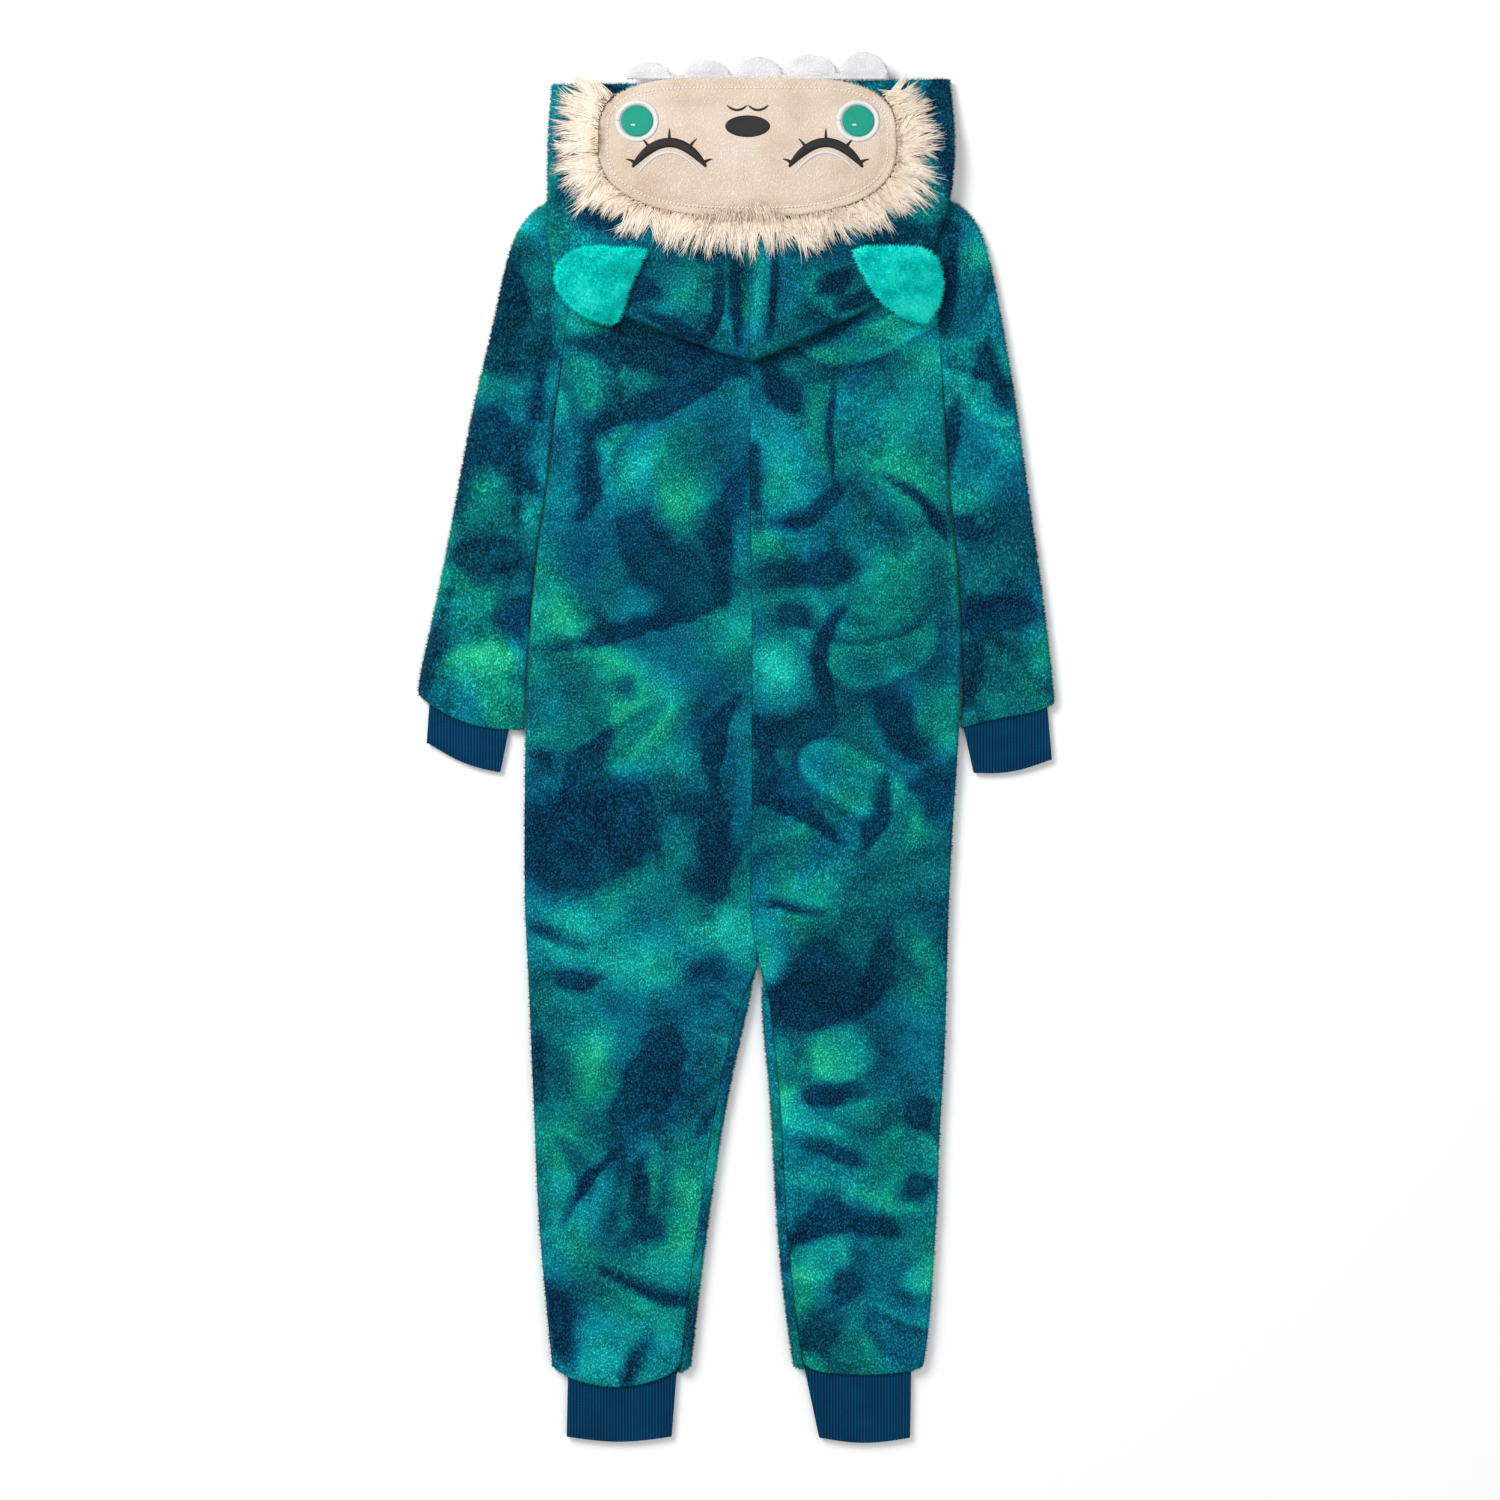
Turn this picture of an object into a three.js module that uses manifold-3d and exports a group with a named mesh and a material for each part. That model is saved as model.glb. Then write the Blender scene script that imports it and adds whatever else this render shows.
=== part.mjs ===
// A child's hooded onesie pajama in plush, laid flat on a surface with its back up.
// X runs to the right, Y towards the hood and Z up from the surface. All sizes are in millimetres.
// Every piece of cloth is a wall built about its own middle surface, with its neighbours a seam apart.
import * as THREE from 'three';
import { mergeVertices } from 'three/addons/utils/BufferGeometryUtils.js';
import Module from 'manifold-3d';

const wasm = await Module();
wasm.setup();

// Cloth thicknesses and the gaps between pieces
const PLUSH = 3;
const HOOD_PLUSH = 2.8;
const RIB_KNIT = 2;
const RIB_RISE = 0.6;
const SEAM = 0.4;
const SIDE_GAP = 0.8;
const CUFF_GAP = 1;
const SLEEVE_GAP = 0.9;
const HOOD_SEAM = 0.8;
const LAID_ON = 0.9;

// Heights of the laid-out layers
const BODY_HIGH = 9.2;
const SLEEVE_HIGH = 8.8;
const CUFF_HIGH = 5.4;
const HEM_DROP = 1.9;
const HOOD_HIGH = 8.8;
const HOOD_LIFT = BODY_HIGH + SEAM;

// Main places up the garment
const SHOULDER_Y = 506;
const CROTCH_Y = -193;
const LEG_HEM_Y = -552;
const BEND_REACH = 60;
const INNER_SEAM_IN = 3.6;

// Side edges of the body. turn is how far the layers turn over to meet in a side seam:
// none along the armhole, where the sleeve goes on from the panel.
const SIDES = [
  { y: 506, left: -131, right: 152, turn: 0 },
  { y: 448, left: -143, right: 170, turn: 0 },
  { y: 403, left: -150, right: 179, turn: 0 },
  { y: 373, left: -154, right: 182, turn: 0 },
  { y: 340, left: -157, right: 184, turn: 0.2 },
  { y: 310, left: -162, right: 186, turn: 0.8 },
  { y: 280, left: -165, right: 188, turn: 1 },
  { y: 240, left: -169, right: 190, turn: 1 },
  { y: 205, left: -175, right: 194, turn: 1 },
  { y: 169, left: -180, right: 198, turn: 1 },
  { y: 114, left: -185, right: 201, turn: 1 },
  { y: 60, left: -188.5, right: 203, turn: 1 },
  { y: 10, left: -190, right: 200, turn: 1 },
  { y: -60, left: -190.5, right: 195, turn: 1 },
  { y: -137, left: -190.5, right: 191, turn: 1 },
  { y: -209, left: -187, right: 189, turn: 1 },
  { y: -281, left: -184, right: 187, turn: 1 },
  { y: -353, left: -181, right: 182, turn: 1 },
  { y: -407, left: -179, right: 181, turn: 1 },
  { y: -450, left: -176, right: 178, turn: 1 },
  { y: -500, left: -171, right: 175, turn: 1 },
  { y: -530, left: -168, right: 171.5, turn: 1 },
  { y: -552, left: -165.5, right: 168, turn: 1 },
];

// Centre seam of the back, from the neck to the crotch
const CENTRE = [
  { y: 520, x: 12 },
  { y: 223, x: 12.5 },
  { y: 133, x: 14 },
  { y: -101, x: 14 },
  { y: -137, x: 12 },
  { y: -165, x: 14 },
  { y: -193, x: 20.5 },
];

// Inner edges of the two legs
const INNER_LEGS = [
  { y: -193, left: 20.3, right: 20.7 },
  { y: -209, left: 15.8, right: 22.9 },
  { y: -227, left: 12, right: 22.4 },
  { y: -263, left: 3, right: 24.5 },
  { y: -299, left: -5, right: 29 },
  { y: -335, left: -12, right: 31.5 },
  { y: -389, left: -20, right: 34 },
  { y: -443, left: -27.5, right: 37 },
  { y: -497, left: -34.5, right: 43 },
  { y: -552, left: -41, right: 51 },
];

// Outer edges of the sleeves
const SLEEVES = [
  { y: 490, left: -166, right: 190 },
  { y: 484, left: -178.5, right: 204 },
  { y: 475, left: -188.5, right: 212 },
  { y: 457, left: -201, right: 223 },
  { y: 421, left: -210, right: 231 },
  { y: 385, left: -217.5, right: 238 },
  { y: 349, left: -226, right: 244.5 },
  { y: 313, left: -235, right: 250.5 },
  { y: 259, left: -245.5, right: 258 },
  { y: 205, left: -255, right: 265.5 },
  { y: 151, left: -265.5, right: 273 },
  { y: 97, left: -277.5, right: 280.5 },
  { y: 61, left: -285, right: 284 },
  { y: 34, left: -286, right: 286.5 },
];

// Hem line of each sleeve, from its outer fold (0) to the fold beside the body (1)
const SLEEVE_HEMS = {
  left: [{ t: 0, y: 50 }, { t: 0.1, y: 38 }, { t: 0.34, y: 27.5 }, { t: 0.55, y: 19 }, { t: 1, y: 16.5 }],
  right: [{ t: 0, y: 41 }, { t: 0.1, y: 35 }, { t: 0.3, y: 31 }, { t: 0.65, y: 26 }, { t: 1, y: 18 }],
};
const SLEEVE_HEM_Y = 34;
const SLEEVE_TOP_Y = 490;

// Sag of each leg hem over its ankle cuff, and how square the sag is
const LEG_HEMS = {
  left: { sag: 22, square: 0.55 },
  right: { sag: 11, square: 0.35 },
};

// Rib-knit cuffs: the stretch of the hem that each one joins, from and to, as parts of the hem's width,
// and the two bottom corners, outer and inner
const CUFFS = [
  { limb: 'sleeve', side: 'left', from: 0.1, to: 0.85, outer: [-279, 2], inner: [-212, -22], ribs: 25 },
  { limb: 'sleeve', side: 'right', from: 0.08, to: 0.98, outer: [284, -12], inner: [213, -23], ribs: 25 },
  { limb: 'leg', side: 'left', from: 0.11, to: 0.9, outer: [-153, -620], inner: [-58, -620], ribs: 32 },
  { limb: 'leg', side: 'right', from: 0.09, to: 0.92, outer: [156.5, -621], inner: [74, -621], ribs: 29 },
];
const CUFF_NAMES = { sleeve: 'wrist_cuff', leg: 'ankle_cuff' };
const CUFF_BOW = 4;

// Necklines and shoulders, by the distance from the centre seam
const NECK_HALF = 85;
const SHOULDER_FALL = 16;
const NECKS = { back: { low: 512, high: 520 }, front: { low: 505, high: 520 } };

// Outline of the folded hood, from its front corner down the side and along the fold to the tip.
// seam is the height on the centre seam that each station runs to.
const HOOD_EDGES = {
  left: [
    { x: -166, y: 595, seam: 597 },
    { x: -167, y: 578, seam: 582 },
    { x: -168, y: 561, seam: 567 },
    { x: -169, y: 543, seam: 551 },
    { x: -169, y: 523, seam: 536 },
    { x: -169, y: 502, seam: 521 },
    { x: -169.5, y: 475, seam: 507 },
    { x: -169, y: 447, seam: 492 },
    { x: -163, y: 427, seam: 476 },
    { x: -149, y: 411, seam: 461 },
    { x: -127, y: 399, seam: 447 },
    { x: -103, y: 389.5, seam: 433 },
    { x: -75, y: 377, seam: 419 },
    { x: -45, y: 365, seam: 405 },
    { x: -13, y: 354, seam: 390 },
    { x: 11.9, y: 347, seam: 372 },
  ],
  right: [
    { x: 191.5, y: 600, seam: 597 },
    { x: 193.5, y: 578, seam: 582 },
    { x: 195, y: 561, seam: 567 },
    { x: 196, y: 543, seam: 551 },
    { x: 195, y: 523, seam: 536 },
    { x: 193, y: 503, seam: 521 },
    { x: 189, y: 480, seam: 507 },
    { x: 182, y: 456, seam: 492 },
    { x: 173, y: 436, seam: 476 },
    { x: 160, y: 420.5, seam: 461 },
    { x: 142, y: 407.5, seam: 447 },
    { x: 121, y: 396.5, seam: 433 },
    { x: 95, y: 382.5, seam: 419 },
    { x: 67, y: 369.5, seam: 405 },
    { x: 36, y: 355, seam: 390 },
    { x: 12.7, y: 347, seam: 372 },
  ],
};
const HOOD_TURN_Y = { start: 524, end: 592 };
// The face opening shows underneath, between the two cheeks: where each cheek's edge lies
const CHEEK_TOP_Y = 595;
const CHEEK_NECK_Y = 530;
const CHEEK_TOP_REACH = 12;

// Soft ridges and hollows of the hood's upper layer and of the back: place, half sizes, turn and rise
const HOOD_FOLDS = [
  { x: 21, y: 412, wide: 10, long: 42, turn: 0, rise: 4 },
  { x: 38, y: 404, wide: 7, long: 40, turn: -4, rise: -1.6 },
  { x: 3, y: 412, wide: 7, long: 40, turn: 0, rise: -1.4 },
  { x: 108, y: 424, wide: 8, long: 26, turn: 38, rise: 1.1 },
  { x: -60, y: 402, wide: 12, long: 44, turn: 68, rise: 1.6 },
  { x: 92, y: 398, wide: 11, long: 40, turn: -66, rise: 1.4 },
];
const BACK_FOLDS = [
  { x: -120, y: 300, wide: 16, long: 70, turn: -20, rise: -0.7 },
  { x: 130, y: 250, wide: 18, long: 80, turn: 18, rise: -0.7 },
  { x: -70, y: 120, wide: 22, long: 60, turn: 62, rise: 0.6 },
  { x: 110, y: 60, wide: 22, long: 70, turn: -58, rise: 0.6 },
  { x: -100, y: -60, wide: 24, long: 70, turn: 80, rise: -0.6 },
  { x: 100, y: -120, wide: 24, long: 70, turn: 66, rise: -0.6 },
  { x: -20, y: -150, wide: 14, long: 50, turn: 55, rise: 0.7 },
  { x: 52, y: -160, wide: 14, long: 50, turn: -55, rise: 0.7 },
  { x: -110, y: -330, wide: 22, long: 60, turn: 74, rise: -0.6 },
  { x: 105, y: -390, wide: 22, long: 60, turn: -70, rise: -0.6 },
];
const SLEEVE_FOLDS = [
  { x: -205, y: 300, wide: 12, long: 60, turn: -14, rise: -0.8 },
  { x: -232, y: 150, wide: 14, long: 50, turn: 60, rise: 0.7 },
  { x: 215, y: 320, wide: 12, long: 60, turn: 12, rise: -0.8 },
  { x: 240, y: 140, wide: 14, long: 50, turn: -60, rise: 0.7 },
];

// Face panel, fur, edging and ears on the hood
const FACE = {
  x: 10, y: 537, half_wide: 134, half_high: 63, square_front: 3.8, square_low: 2.5, edge: 2.6, crown: 5.2,
};
const FUR = { locks: 78, from: 36, to: -217, strip: 5, deep: 2.2, spread: 0.1 };
// Length of the fur by its place round the panel, in degrees from the right
const FUR_LENGTHS = [
  { place: 36, long: 31 },
  { place: 5, long: 38 },
  { place: -25, long: 37 },
  { place: -45, long: 31 },
  { place: -60, long: 33 },
  { place: -75, long: 36 },
  { place: -90, long: 31 },
  { place: -105, long: 36 },
  { place: -120, long: 31 },
  { place: -138, long: 30 },
  { place: -160, long: 39 },
  { place: -195, long: 40 },
  { place: -217, long: 33 },
];
const SCALLOPS = [
  { from: -98.5, to: -59, peak: 614 },
  { from: -48, to: -6, peak: 615.5 },
  { from: -3.5, to: 41, peak: 619 },
  { from: 42.5, to: 90.5, peak: 621 },
  { from: 91.5, to: 136, peak: 623.5 },
];
const SCALLOP_STRIP = { low: 600.6, high: 602.4, deep: 3 };
const EARS = {
  left: [
    [-80, 444], [-90, 447], [-107, 446], [-134, 449], [-152, 441], [-163, 428], [-162, 412], [-152, 398],
    [-137, 386], [-118, 379], [-107, 380], [-102, 392], [-97, 410], [-88, 429],
  ],
  right: [
    [104, 444], [116, 448], [131, 447], [152, 448], [169, 446], [179, 439], [184.5, 424], [184.5, 406],
    [179, 390], [169, 379.5], [154, 383], [138, 392], [124, 405], [112, 427],
  ],
};
const EAR = { edge: 2.2, crown: 6, rest: 0.3, droop: 3, droop_reach: 18 };
// The hood's fold under each ear, from and to
const EAR_LINES = { left: [[-163, 427], [-103, 389.5]], right: [[173, 436], [121, 396.5]] };

// Front zip, underneath: half the gap between the panels, the tapes and the slider with its pull tab
const ZIP = { half_gap: 6.5, low_y: -110, top_y: 499, tape_wide: 12, tape_deep: 0.7, tooth_gap: 0.3 };
const SLIDER = { y: 491, wide: 9, long: 11, plate: 0.8, low_plate: 2, high_plate: 4.4, core: 1.6 };
const BRIDGE = { wide: 2.4, long: 7.4, skin: 0.6, low: 0.2, post: 1.2 };
const PULL = { z: 1.4, thick: 0.8, half_wide: 3.6, long: 27, slot_half: 1.8, slot_long: 5.6 };

const clamp = (value, low, high) => Math.min(high, Math.max(low, value));
const mix = (a, b, t) => a + (b - a) * t;
const SIGN = { left: -1, right: 1 };

function ease(t) {
  const c = clamp(t, 0, 1);
  return c * c * (3 - 2 * c);
}

// One column of a table as a smooth curve over another column
function curve(table, column, by = 'y') {
  const rows = [...table].sort((a, b) => a[by] - b[by]);
  const last = rows.length - 1;
  const slope = i => {
    const a = rows[Math.max(0, i - 1)];
    const b = rows[Math.min(last, i + 1)];
    return (b[column] - a[column]) / (b[by] - a[by]);
  };
  return place => {
    const s = clamp(place, rows[0][by], rows[last][by]);
    const i = clamp(rows.findLastIndex(row => row[by] <= s), 0, last - 1);
    const h = rows[i + 1][by] - rows[i][by];
    const t = (s - rows[i][by]) / h;
    const bend = ease(t);
    const lean = h * t * (1 - t) * ((1 - t) * slope(i) - t * slope(i + 1));
    return mix(rows[i][column], rows[i + 1][column], bend) + lean;
  };
}

// Rise of a list of soft ridges and hollows at a point
function folds(list, x, y) {
  let rise = 0;
  for (const fold of list) {
    const angle = THREE.MathUtils.degToRad(fold.turn);
    const across = (x - fold.x) * Math.cos(angle) + (y - fold.y) * Math.sin(angle);
    const along = (y - fold.y) * Math.cos(angle) - (x - fold.x) * Math.sin(angle);
    rise += fold.rise * Math.exp(-((across / fold.wide) ** 2) - (along / fold.long) ** 2);
  }
  return rise;
}

// Turns a list of points and of triangles into a geometry whose faces point out
function solid(points, faces) {
  let volume = 0;
  for (const [a, b, c] of faces) volume += points[a].dot(points[b].clone().cross(points[c]));
  const index = faces.flatMap(([a, b, c]) => (volume > 0 ? [a, b, c] : [a, c, b]));
  const geometry = new THREE.BufferGeometry();
  geometry.setAttribute('position', new THREE.Float32BufferAttribute(points.flatMap(p => [p.x, p.y, p.z]), 3));
  geometry.setIndex(index);
  return geometry;
}

// Closes two skins of rows by columns into one body
function closeSkins(upper, lower, rows, cols) {
  const faces = [];
  const shift = rows * cols;
  const quad = (a, b, c, d) => faces.push([a, b, c], [a, c, d]);
  for (let r = 0; r < rows - 1; r++) {
    for (let c = 0; c < cols - 1; c++) {
      const a = r * cols + c;
      quad(a, a + 1, a + cols + 1, a + cols);
      quad(shift + a, shift + a + cols, shift + a + cols + 1, shift + a + 1);
    }
  }
  const rim = [];
  for (let c = 0; c < cols - 1; c++) rim.push(c);
  for (let r = 0; r < rows - 1; r++) rim.push(r * cols + cols - 1);
  for (let c = cols - 1; c > 0; c--) rim.push((rows - 1) * cols + c);
  for (let r = rows - 1; r > 0; r--) rim.push(r * cols);
  rim.forEach((a, i) => {
    const b = rim[(i + 1) % rim.length];
    quad(b, a, shift + a, shift + b);
  });
  return solid([...upper, ...lower], faces);
}

// A wall of even thickness about a grid of middle points
function wall(grid, thickness) {
  const rows = grid.length;
  const cols = grid[0].length;
  const at = (r, c) => grid[clamp(r, 0, rows - 1)][clamp(c, 0, cols - 1)];
  const upper = [];
  const lower = [];
  for (let r = 0; r < rows; r++) {
    for (let c = 0; c < cols; c++) {
      const across = at(r, c + 1).clone().sub(at(r, c - 1));
      const along = at(r + 1, c).clone().sub(at(r - 1, c));
      const half = across.cross(along).normalize().multiplyScalar(thickness / 2);
      upper.push(at(r, c).clone().add(half));
      lower.push(at(r, c).clone().sub(half));
    }
  }
  return closeSkins(upper, lower, rows, cols);
}

// A closed pad over an outline: rings of the outline shrink to its middle above and below
function pad(outline, rings, top, bottom) {
  const middle = outline.reduce((sum, p) => sum.add(p), new THREE.Vector2()).divideScalar(outline.length);
  const points = [];
  const faces = [];
  const n = outline.length;
  const skins = [top, bottom].map(height => {
    const start = points.length;
    for (const ring of rings) {
      for (const p of outline) {
        const q = p.clone().lerp(middle, 1 - ring);
        points.push(new THREE.Vector3(q.x, q.y, height(q.x, q.y, ring)));
      }
    }
    points.push(new THREE.Vector3(middle.x, middle.y, height(middle.x, middle.y, 0)));
    return start;
  });
  skins.forEach((start, skin) => {
    const face = (a, b, c) => faces.push(skin ? [a, c, b] : [a, b, c]);
    rings.forEach((ring, k) => {
      for (let i = 0; i < n; i++) {
        const a = start + k * n + i;
        const b = start + k * n + (i + 1) % n;
        const centre = start + rings.length * n;
        face(a, b, k + 1 < rings.length ? b + n : centre);
        if (k + 1 < rings.length) face(a, b + n, a + n);
      }
    });
  });
  for (let i = 0; i < n; i++) {
    const j = (i + 1) % n;
    faces.push([j, i, skins[1] + i], [j, skins[1] + i, skins[1] + j]);
  }
  return solid(points, faces);
}

// Joins two geometries into one body, or cuts the second from the first
function combine(first, second, action) {
  const [a, b] = [first, second].map(geometry => new wasm.Manifold(new wasm.Mesh({
    numProp: 3,
    vertProperties: new Float32Array(geometry.attributes.position.array),
    triVerts: new Uint32Array(geometry.index.array),
  })));
  const mesh = (action === 'cut' ? a.subtract(b) : a.add(b)).getMesh();
  const geometry = new THREE.BufferGeometry();
  geometry.setAttribute('position', new THREE.BufferAttribute(new Float32Array(mesh.vertProperties), 3));
  geometry.setIndex(new THREE.BufferAttribute(new Uint32Array(mesh.triVerts), 1));
  return geometry;
}

// Outlines of the body and its pieces as curves
const side = { left: curve(SIDES, 'left'), right: curve(SIDES, 'right') };
const sideTurn = curve(SIDES, 'turn');
const centre = curve(CENTRE, 'x');
const innerLeg = { left: curve(INNER_LEGS, 'left'), right: curve(INNER_LEGS, 'right') };
const sleeveSide = { left: curve(SLEEVES, 'left'), right: curve(SLEEVES, 'right') };
const furLength = curve(FUR_LENGTHS, 'long', 'place');
const sleeveHem = { left: curve(SLEEVE_HEMS.left, 'y', 't'), right: curve(SLEEVE_HEMS.right, 'y', 't') };

function innerEdge(hand, y) {
  return y > CROTCH_Y ? centre(y) + SIGN[hand] * SEAM / 2 : innerLeg[hand](y);
}

// How far the front panel wraps over the inner leg, and where the back panel's edge meets it
const legWrap = y => ease((CROTCH_Y - y) / 26);
const legInset = y => (BODY_HIGH / 2 + 3 * SEAM) * legWrap(y) + INNER_SEAM_IN * ease((CROTCH_Y - y) / 60);

// Neckline and shoulder line at a distance from the centre seam
function neckLine(layer, away) {
  const { low, high } = NECKS[layer];
  const neck = mix(low, high, clamp(away / NECK_HALF, 0, 1) ** 2);
  return neck - SHOULDER_FALL * clamp((away - NECK_HALF) / (side.right(SHOULDER_Y) - NECK_HALF), 0, 1);
}

function legHem(hand, t) {
  const { sag, square } = LEG_HEMS[hand];
  return LEG_HEM_Y - sag * Math.sin(Math.PI * clamp(t, 0, 1)) ** square;
}

// Height of the upper layer over a hem: the plush rolls down to the cuff
function hemRoll(y, hem) {
  return -HEM_DROP * clamp(1 - (y - hem) / 9, 0, 1) ** 2;
}

// Small puckers where the plush is gathered into a cuff
function puckers(t, y, hem, count) {
  return 0.5 * Math.sin(t * count * 2 * Math.PI) * ease(1 - (y - hem) / 34) * ease((y - hem) / 6);
}

// Row heights for the body, close together at the ends and at the crotch
const BODY_ROWS = [
  506, 488, 448, 403, 373, 340, 310, 270, 225, 180, 130, 75, 15, -50, -105, -145, -172, -193,
  -206, -226, -258, -300, -350, -400, -450, -495, -524, -540, -547.5, -552,
];

// Bends a straight row at its ends to the neckline above and to the leg's hem below
function bodyY(hand, layer, row, x, t) {
  const top = ease((row - SHOULDER_Y + BEND_REACH) / BEND_REACH);
  const foot = ease((LEG_HEM_Y + BEND_REACH - row) / BEND_REACH);
  const neck = neckLine(layer, Math.abs(x - centre(row))) - SHOULDER_Y;
  return row + top * neck + foot * (legHem(hand, t) - LEG_HEM_Y);
}

// Turned edge of a layer: middle points from the side seam round to the flat, by distance from the edge
function turnedEdge(turn, high, thick, steps) {
  const half = high / 2;
  const bend = half - thick / 2;
  const points = [];
  for (let i = 0; i < steps; i++) {
    const angle = (i / steps) * Math.PI / 2;
    const round = { d: half - bend * Math.cos(angle), up: Math.max(SIDE_GAP, bend * Math.sin(angle)) };
    const flat = { d: SEAM / 2 + (half - SEAM / 2) * (i / steps), up: bend };
    points.push({ d: mix(flat.d, round.d, turn), up: mix(flat.up, round.up, turn) });
  }
  return points;
}

// Back panel: the side seam, the turned edge and the upper layer as far as the centre seam or inner leg
function backPanel(hand) {
  const columns = [0, 0.07, 0.18, 0.31, 0.44, 0.57, 0.7, 0.83, 0.94, 1];
  const sign = SIGN[hand];
  const grid = BODY_ROWS.map(row => {
    const outer = side[hand](row);
    const inner = innerEdge(hand, row) + sign * legInset(row);
    const width = Math.abs(outer - inner);
    const edge = turnedEdge(sideTurn(row), BODY_HIGH, PLUSH, 3);
    const half = BODY_HIGH / 2;
    const flat = columns.map(f => ({ d: mix(half, width, f), up: half - PLUSH / 2, f }));
    return [...edge, ...flat].map(({ d, up, f = 0 }) => {
      const x = outer - sign * d;
      const t = d / width;
      const y = bodyY(hand, 'back', row, x, t);
      const foot = legHem(hand, t);
      const lift = (folds(BACK_FOLDS, x, y) + puckers(t, y, foot, 5)) * ease(f * 6)
        + hemRoll(y, foot) * (up / (half - PLUSH / 2)) ** 2;
      return new THREE.Vector3(x, y, half + up + lift);
    });
  });
  return wall(grid, PLUSH);
}

// Front panel: the lower layer, flat on the surface, with its edge turned up at the side seam.
// Along the inner leg it wraps up and over to meet the back panel's edge.
function frontPanel(hand) {
  const columns = [0, 0.33, 0.66, 1];
  const sign = SIGN[hand];
  const half = BODY_HIGH / 2;
  const bend = half - PLUSH / 2;
  const grid = BODY_ROWS.map(row => {
    const outer = side[hand](row);
    const zip = mix(SEAM / 2, ZIP.half_gap, ease((row - ZIP.low_y) / 16));
    const inner = row > CROTCH_Y ? centre(row) + sign * zip : innerLeg[hand](row);
    const wrap = legWrap(row);
    const width = Math.abs(outer - inner);
    const edge = turnedEdge(sideTurn(row), BODY_HIGH, PLUSH, 3);
    const flat = columns.map(f => ({ d: mix(half, width - half - 3.4, f), up: bend }));
    const round = [0, 1, 2, 3, 4].map(i => {
      const angle = (i / 4) * Math.PI;
      const over = Math.max(half, legInset(row) - SEAM);
      const plain = mix(width - half - 2.4, width, i / 4);
      const wrapped = i < 4 ? width - half + bend * Math.sin(angle) : width - over;
      return { d: mix(plain, wrapped, wrap), up: mix(bend, bend * Math.cos(angle), wrap) };
    });
    return [...edge, ...flat, ...round].map(({ d, up }) => {
      const x = outer - sign * d;
      const t = clamp(d / width, 0, 1);
      const y = bodyY(hand, 'front', row, x, t);
      const lift = up < 0 ? hemRoll(y, legHem(hand, t)) : 0;
      return new THREE.Vector3(x, y, half - up + lift);
    });
  });
  return wall(grid, PLUSH);
}

// Sleeve: one piece wrapped from the seam beside the body, over the outer fold and back underneath.
// Along the armhole its two edges lie open against the back and front panels.
const SLEEVE_ROWS = [490, 485, 477, 464, 440, 403, 373, 340, 310, 270, 225, 180, 130, 75, 50, 41, 36, 34];
function sleeve(hand) {
  const upper = [0, 0.2, 0.4, 0.6, 0.8, 1];
  const sign = SIGN[hand];
  const half = SLEEVE_HIGH / 2;
  const bend = half - PLUSH / 2;
  const bent = (row, t) => {
    const head = ease((row - SLEEVE_TOP_Y + 50) / 50) * (504 - SLEEVE_TOP_Y) * t;
    const foot = ease((SLEEVE_HEM_Y + 80 - row) / 80) * (sleeveHem[hand](t) - SLEEVE_HEM_Y);
    return row + head + foot;
  };
  const grid = SLEEVE_ROWS.map(row => {
    const inner = side[hand](bent(row, 1));
    const outer = sleeveSide[hand](bent(row, 0));
    const gap = mix(SEAM / 2, SLEEVE_GAP, sideTurn(row));
    const width = Math.abs(outer - inner) - gap;
    const edge = turnedEdge(sideTurn(row), SLEEVE_HIGH, PLUSH, 2);
    const span = width - half;
    const shut = 1 - ease((row - SLEEVE_TOP_Y + 26) / 26) * 0.4;
    const path = [
      ...edge.map(p => ({ ...p })),
      ...upper.map(f => ({ d: mix(half, span, f), up: bend, f })),
      ...[45, 90, 135].map(THREE.MathUtils.degToRad).map(turn => (
        { d: span + bend * Math.sin(turn), up: bend * Math.cos(turn) }
      )),
      ...[1, 0.66, 0.33, 0].map(f => ({ d: mix(half, span, f), up: -bend })),
      ...edge.map(p => ({ d: p.d, up: -p.up })).reverse(),
    ];
    return path.map(({ d, up, f = 0 }) => {
      const x = inner + sign * (gap + d);
      const t = clamp(1 - d / width, 0, 1);
      const hem = sleeveHem[hand](t);
      const y = bent(row, t);
      const inside = ease(Math.min(f, 1 - f) * 6);
      const lift = (folds(SLEEVE_FOLDS, x, y) + puckers(t, y, hem, 4)) * inside;
      const roll = up > 0.5 ? hemRoll(y, hem) : 0;
      return new THREE.Vector3(x, y, half + mix(-bend, up, shut) + lift + roll);
    });
  });
  return wall(grid, PLUSH);
}

// Place on a limb's hem, a part of the way from its outer fold, moved along the hem by a shift
function hemPoint({ limb, side: hand }, part, shift) {
  const sleeved = limb === 'sleeve';
  const outer = sleeved ? sleeveSide[hand](SLEEVE_HEM_Y) : side[hand](LEG_HEM_Y);
  const inner = sleeved ? side[hand](SLEEVE_HEM_Y) : innerLeg[hand](LEG_HEM_Y);
  const x = mix(outer, inner, part) + shift;
  const t = (x - outer) / (inner - outer);
  return new THREE.Vector2(x, sleeved ? sleeveHem[hand](t) : legHem(hand, t));
}

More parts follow.
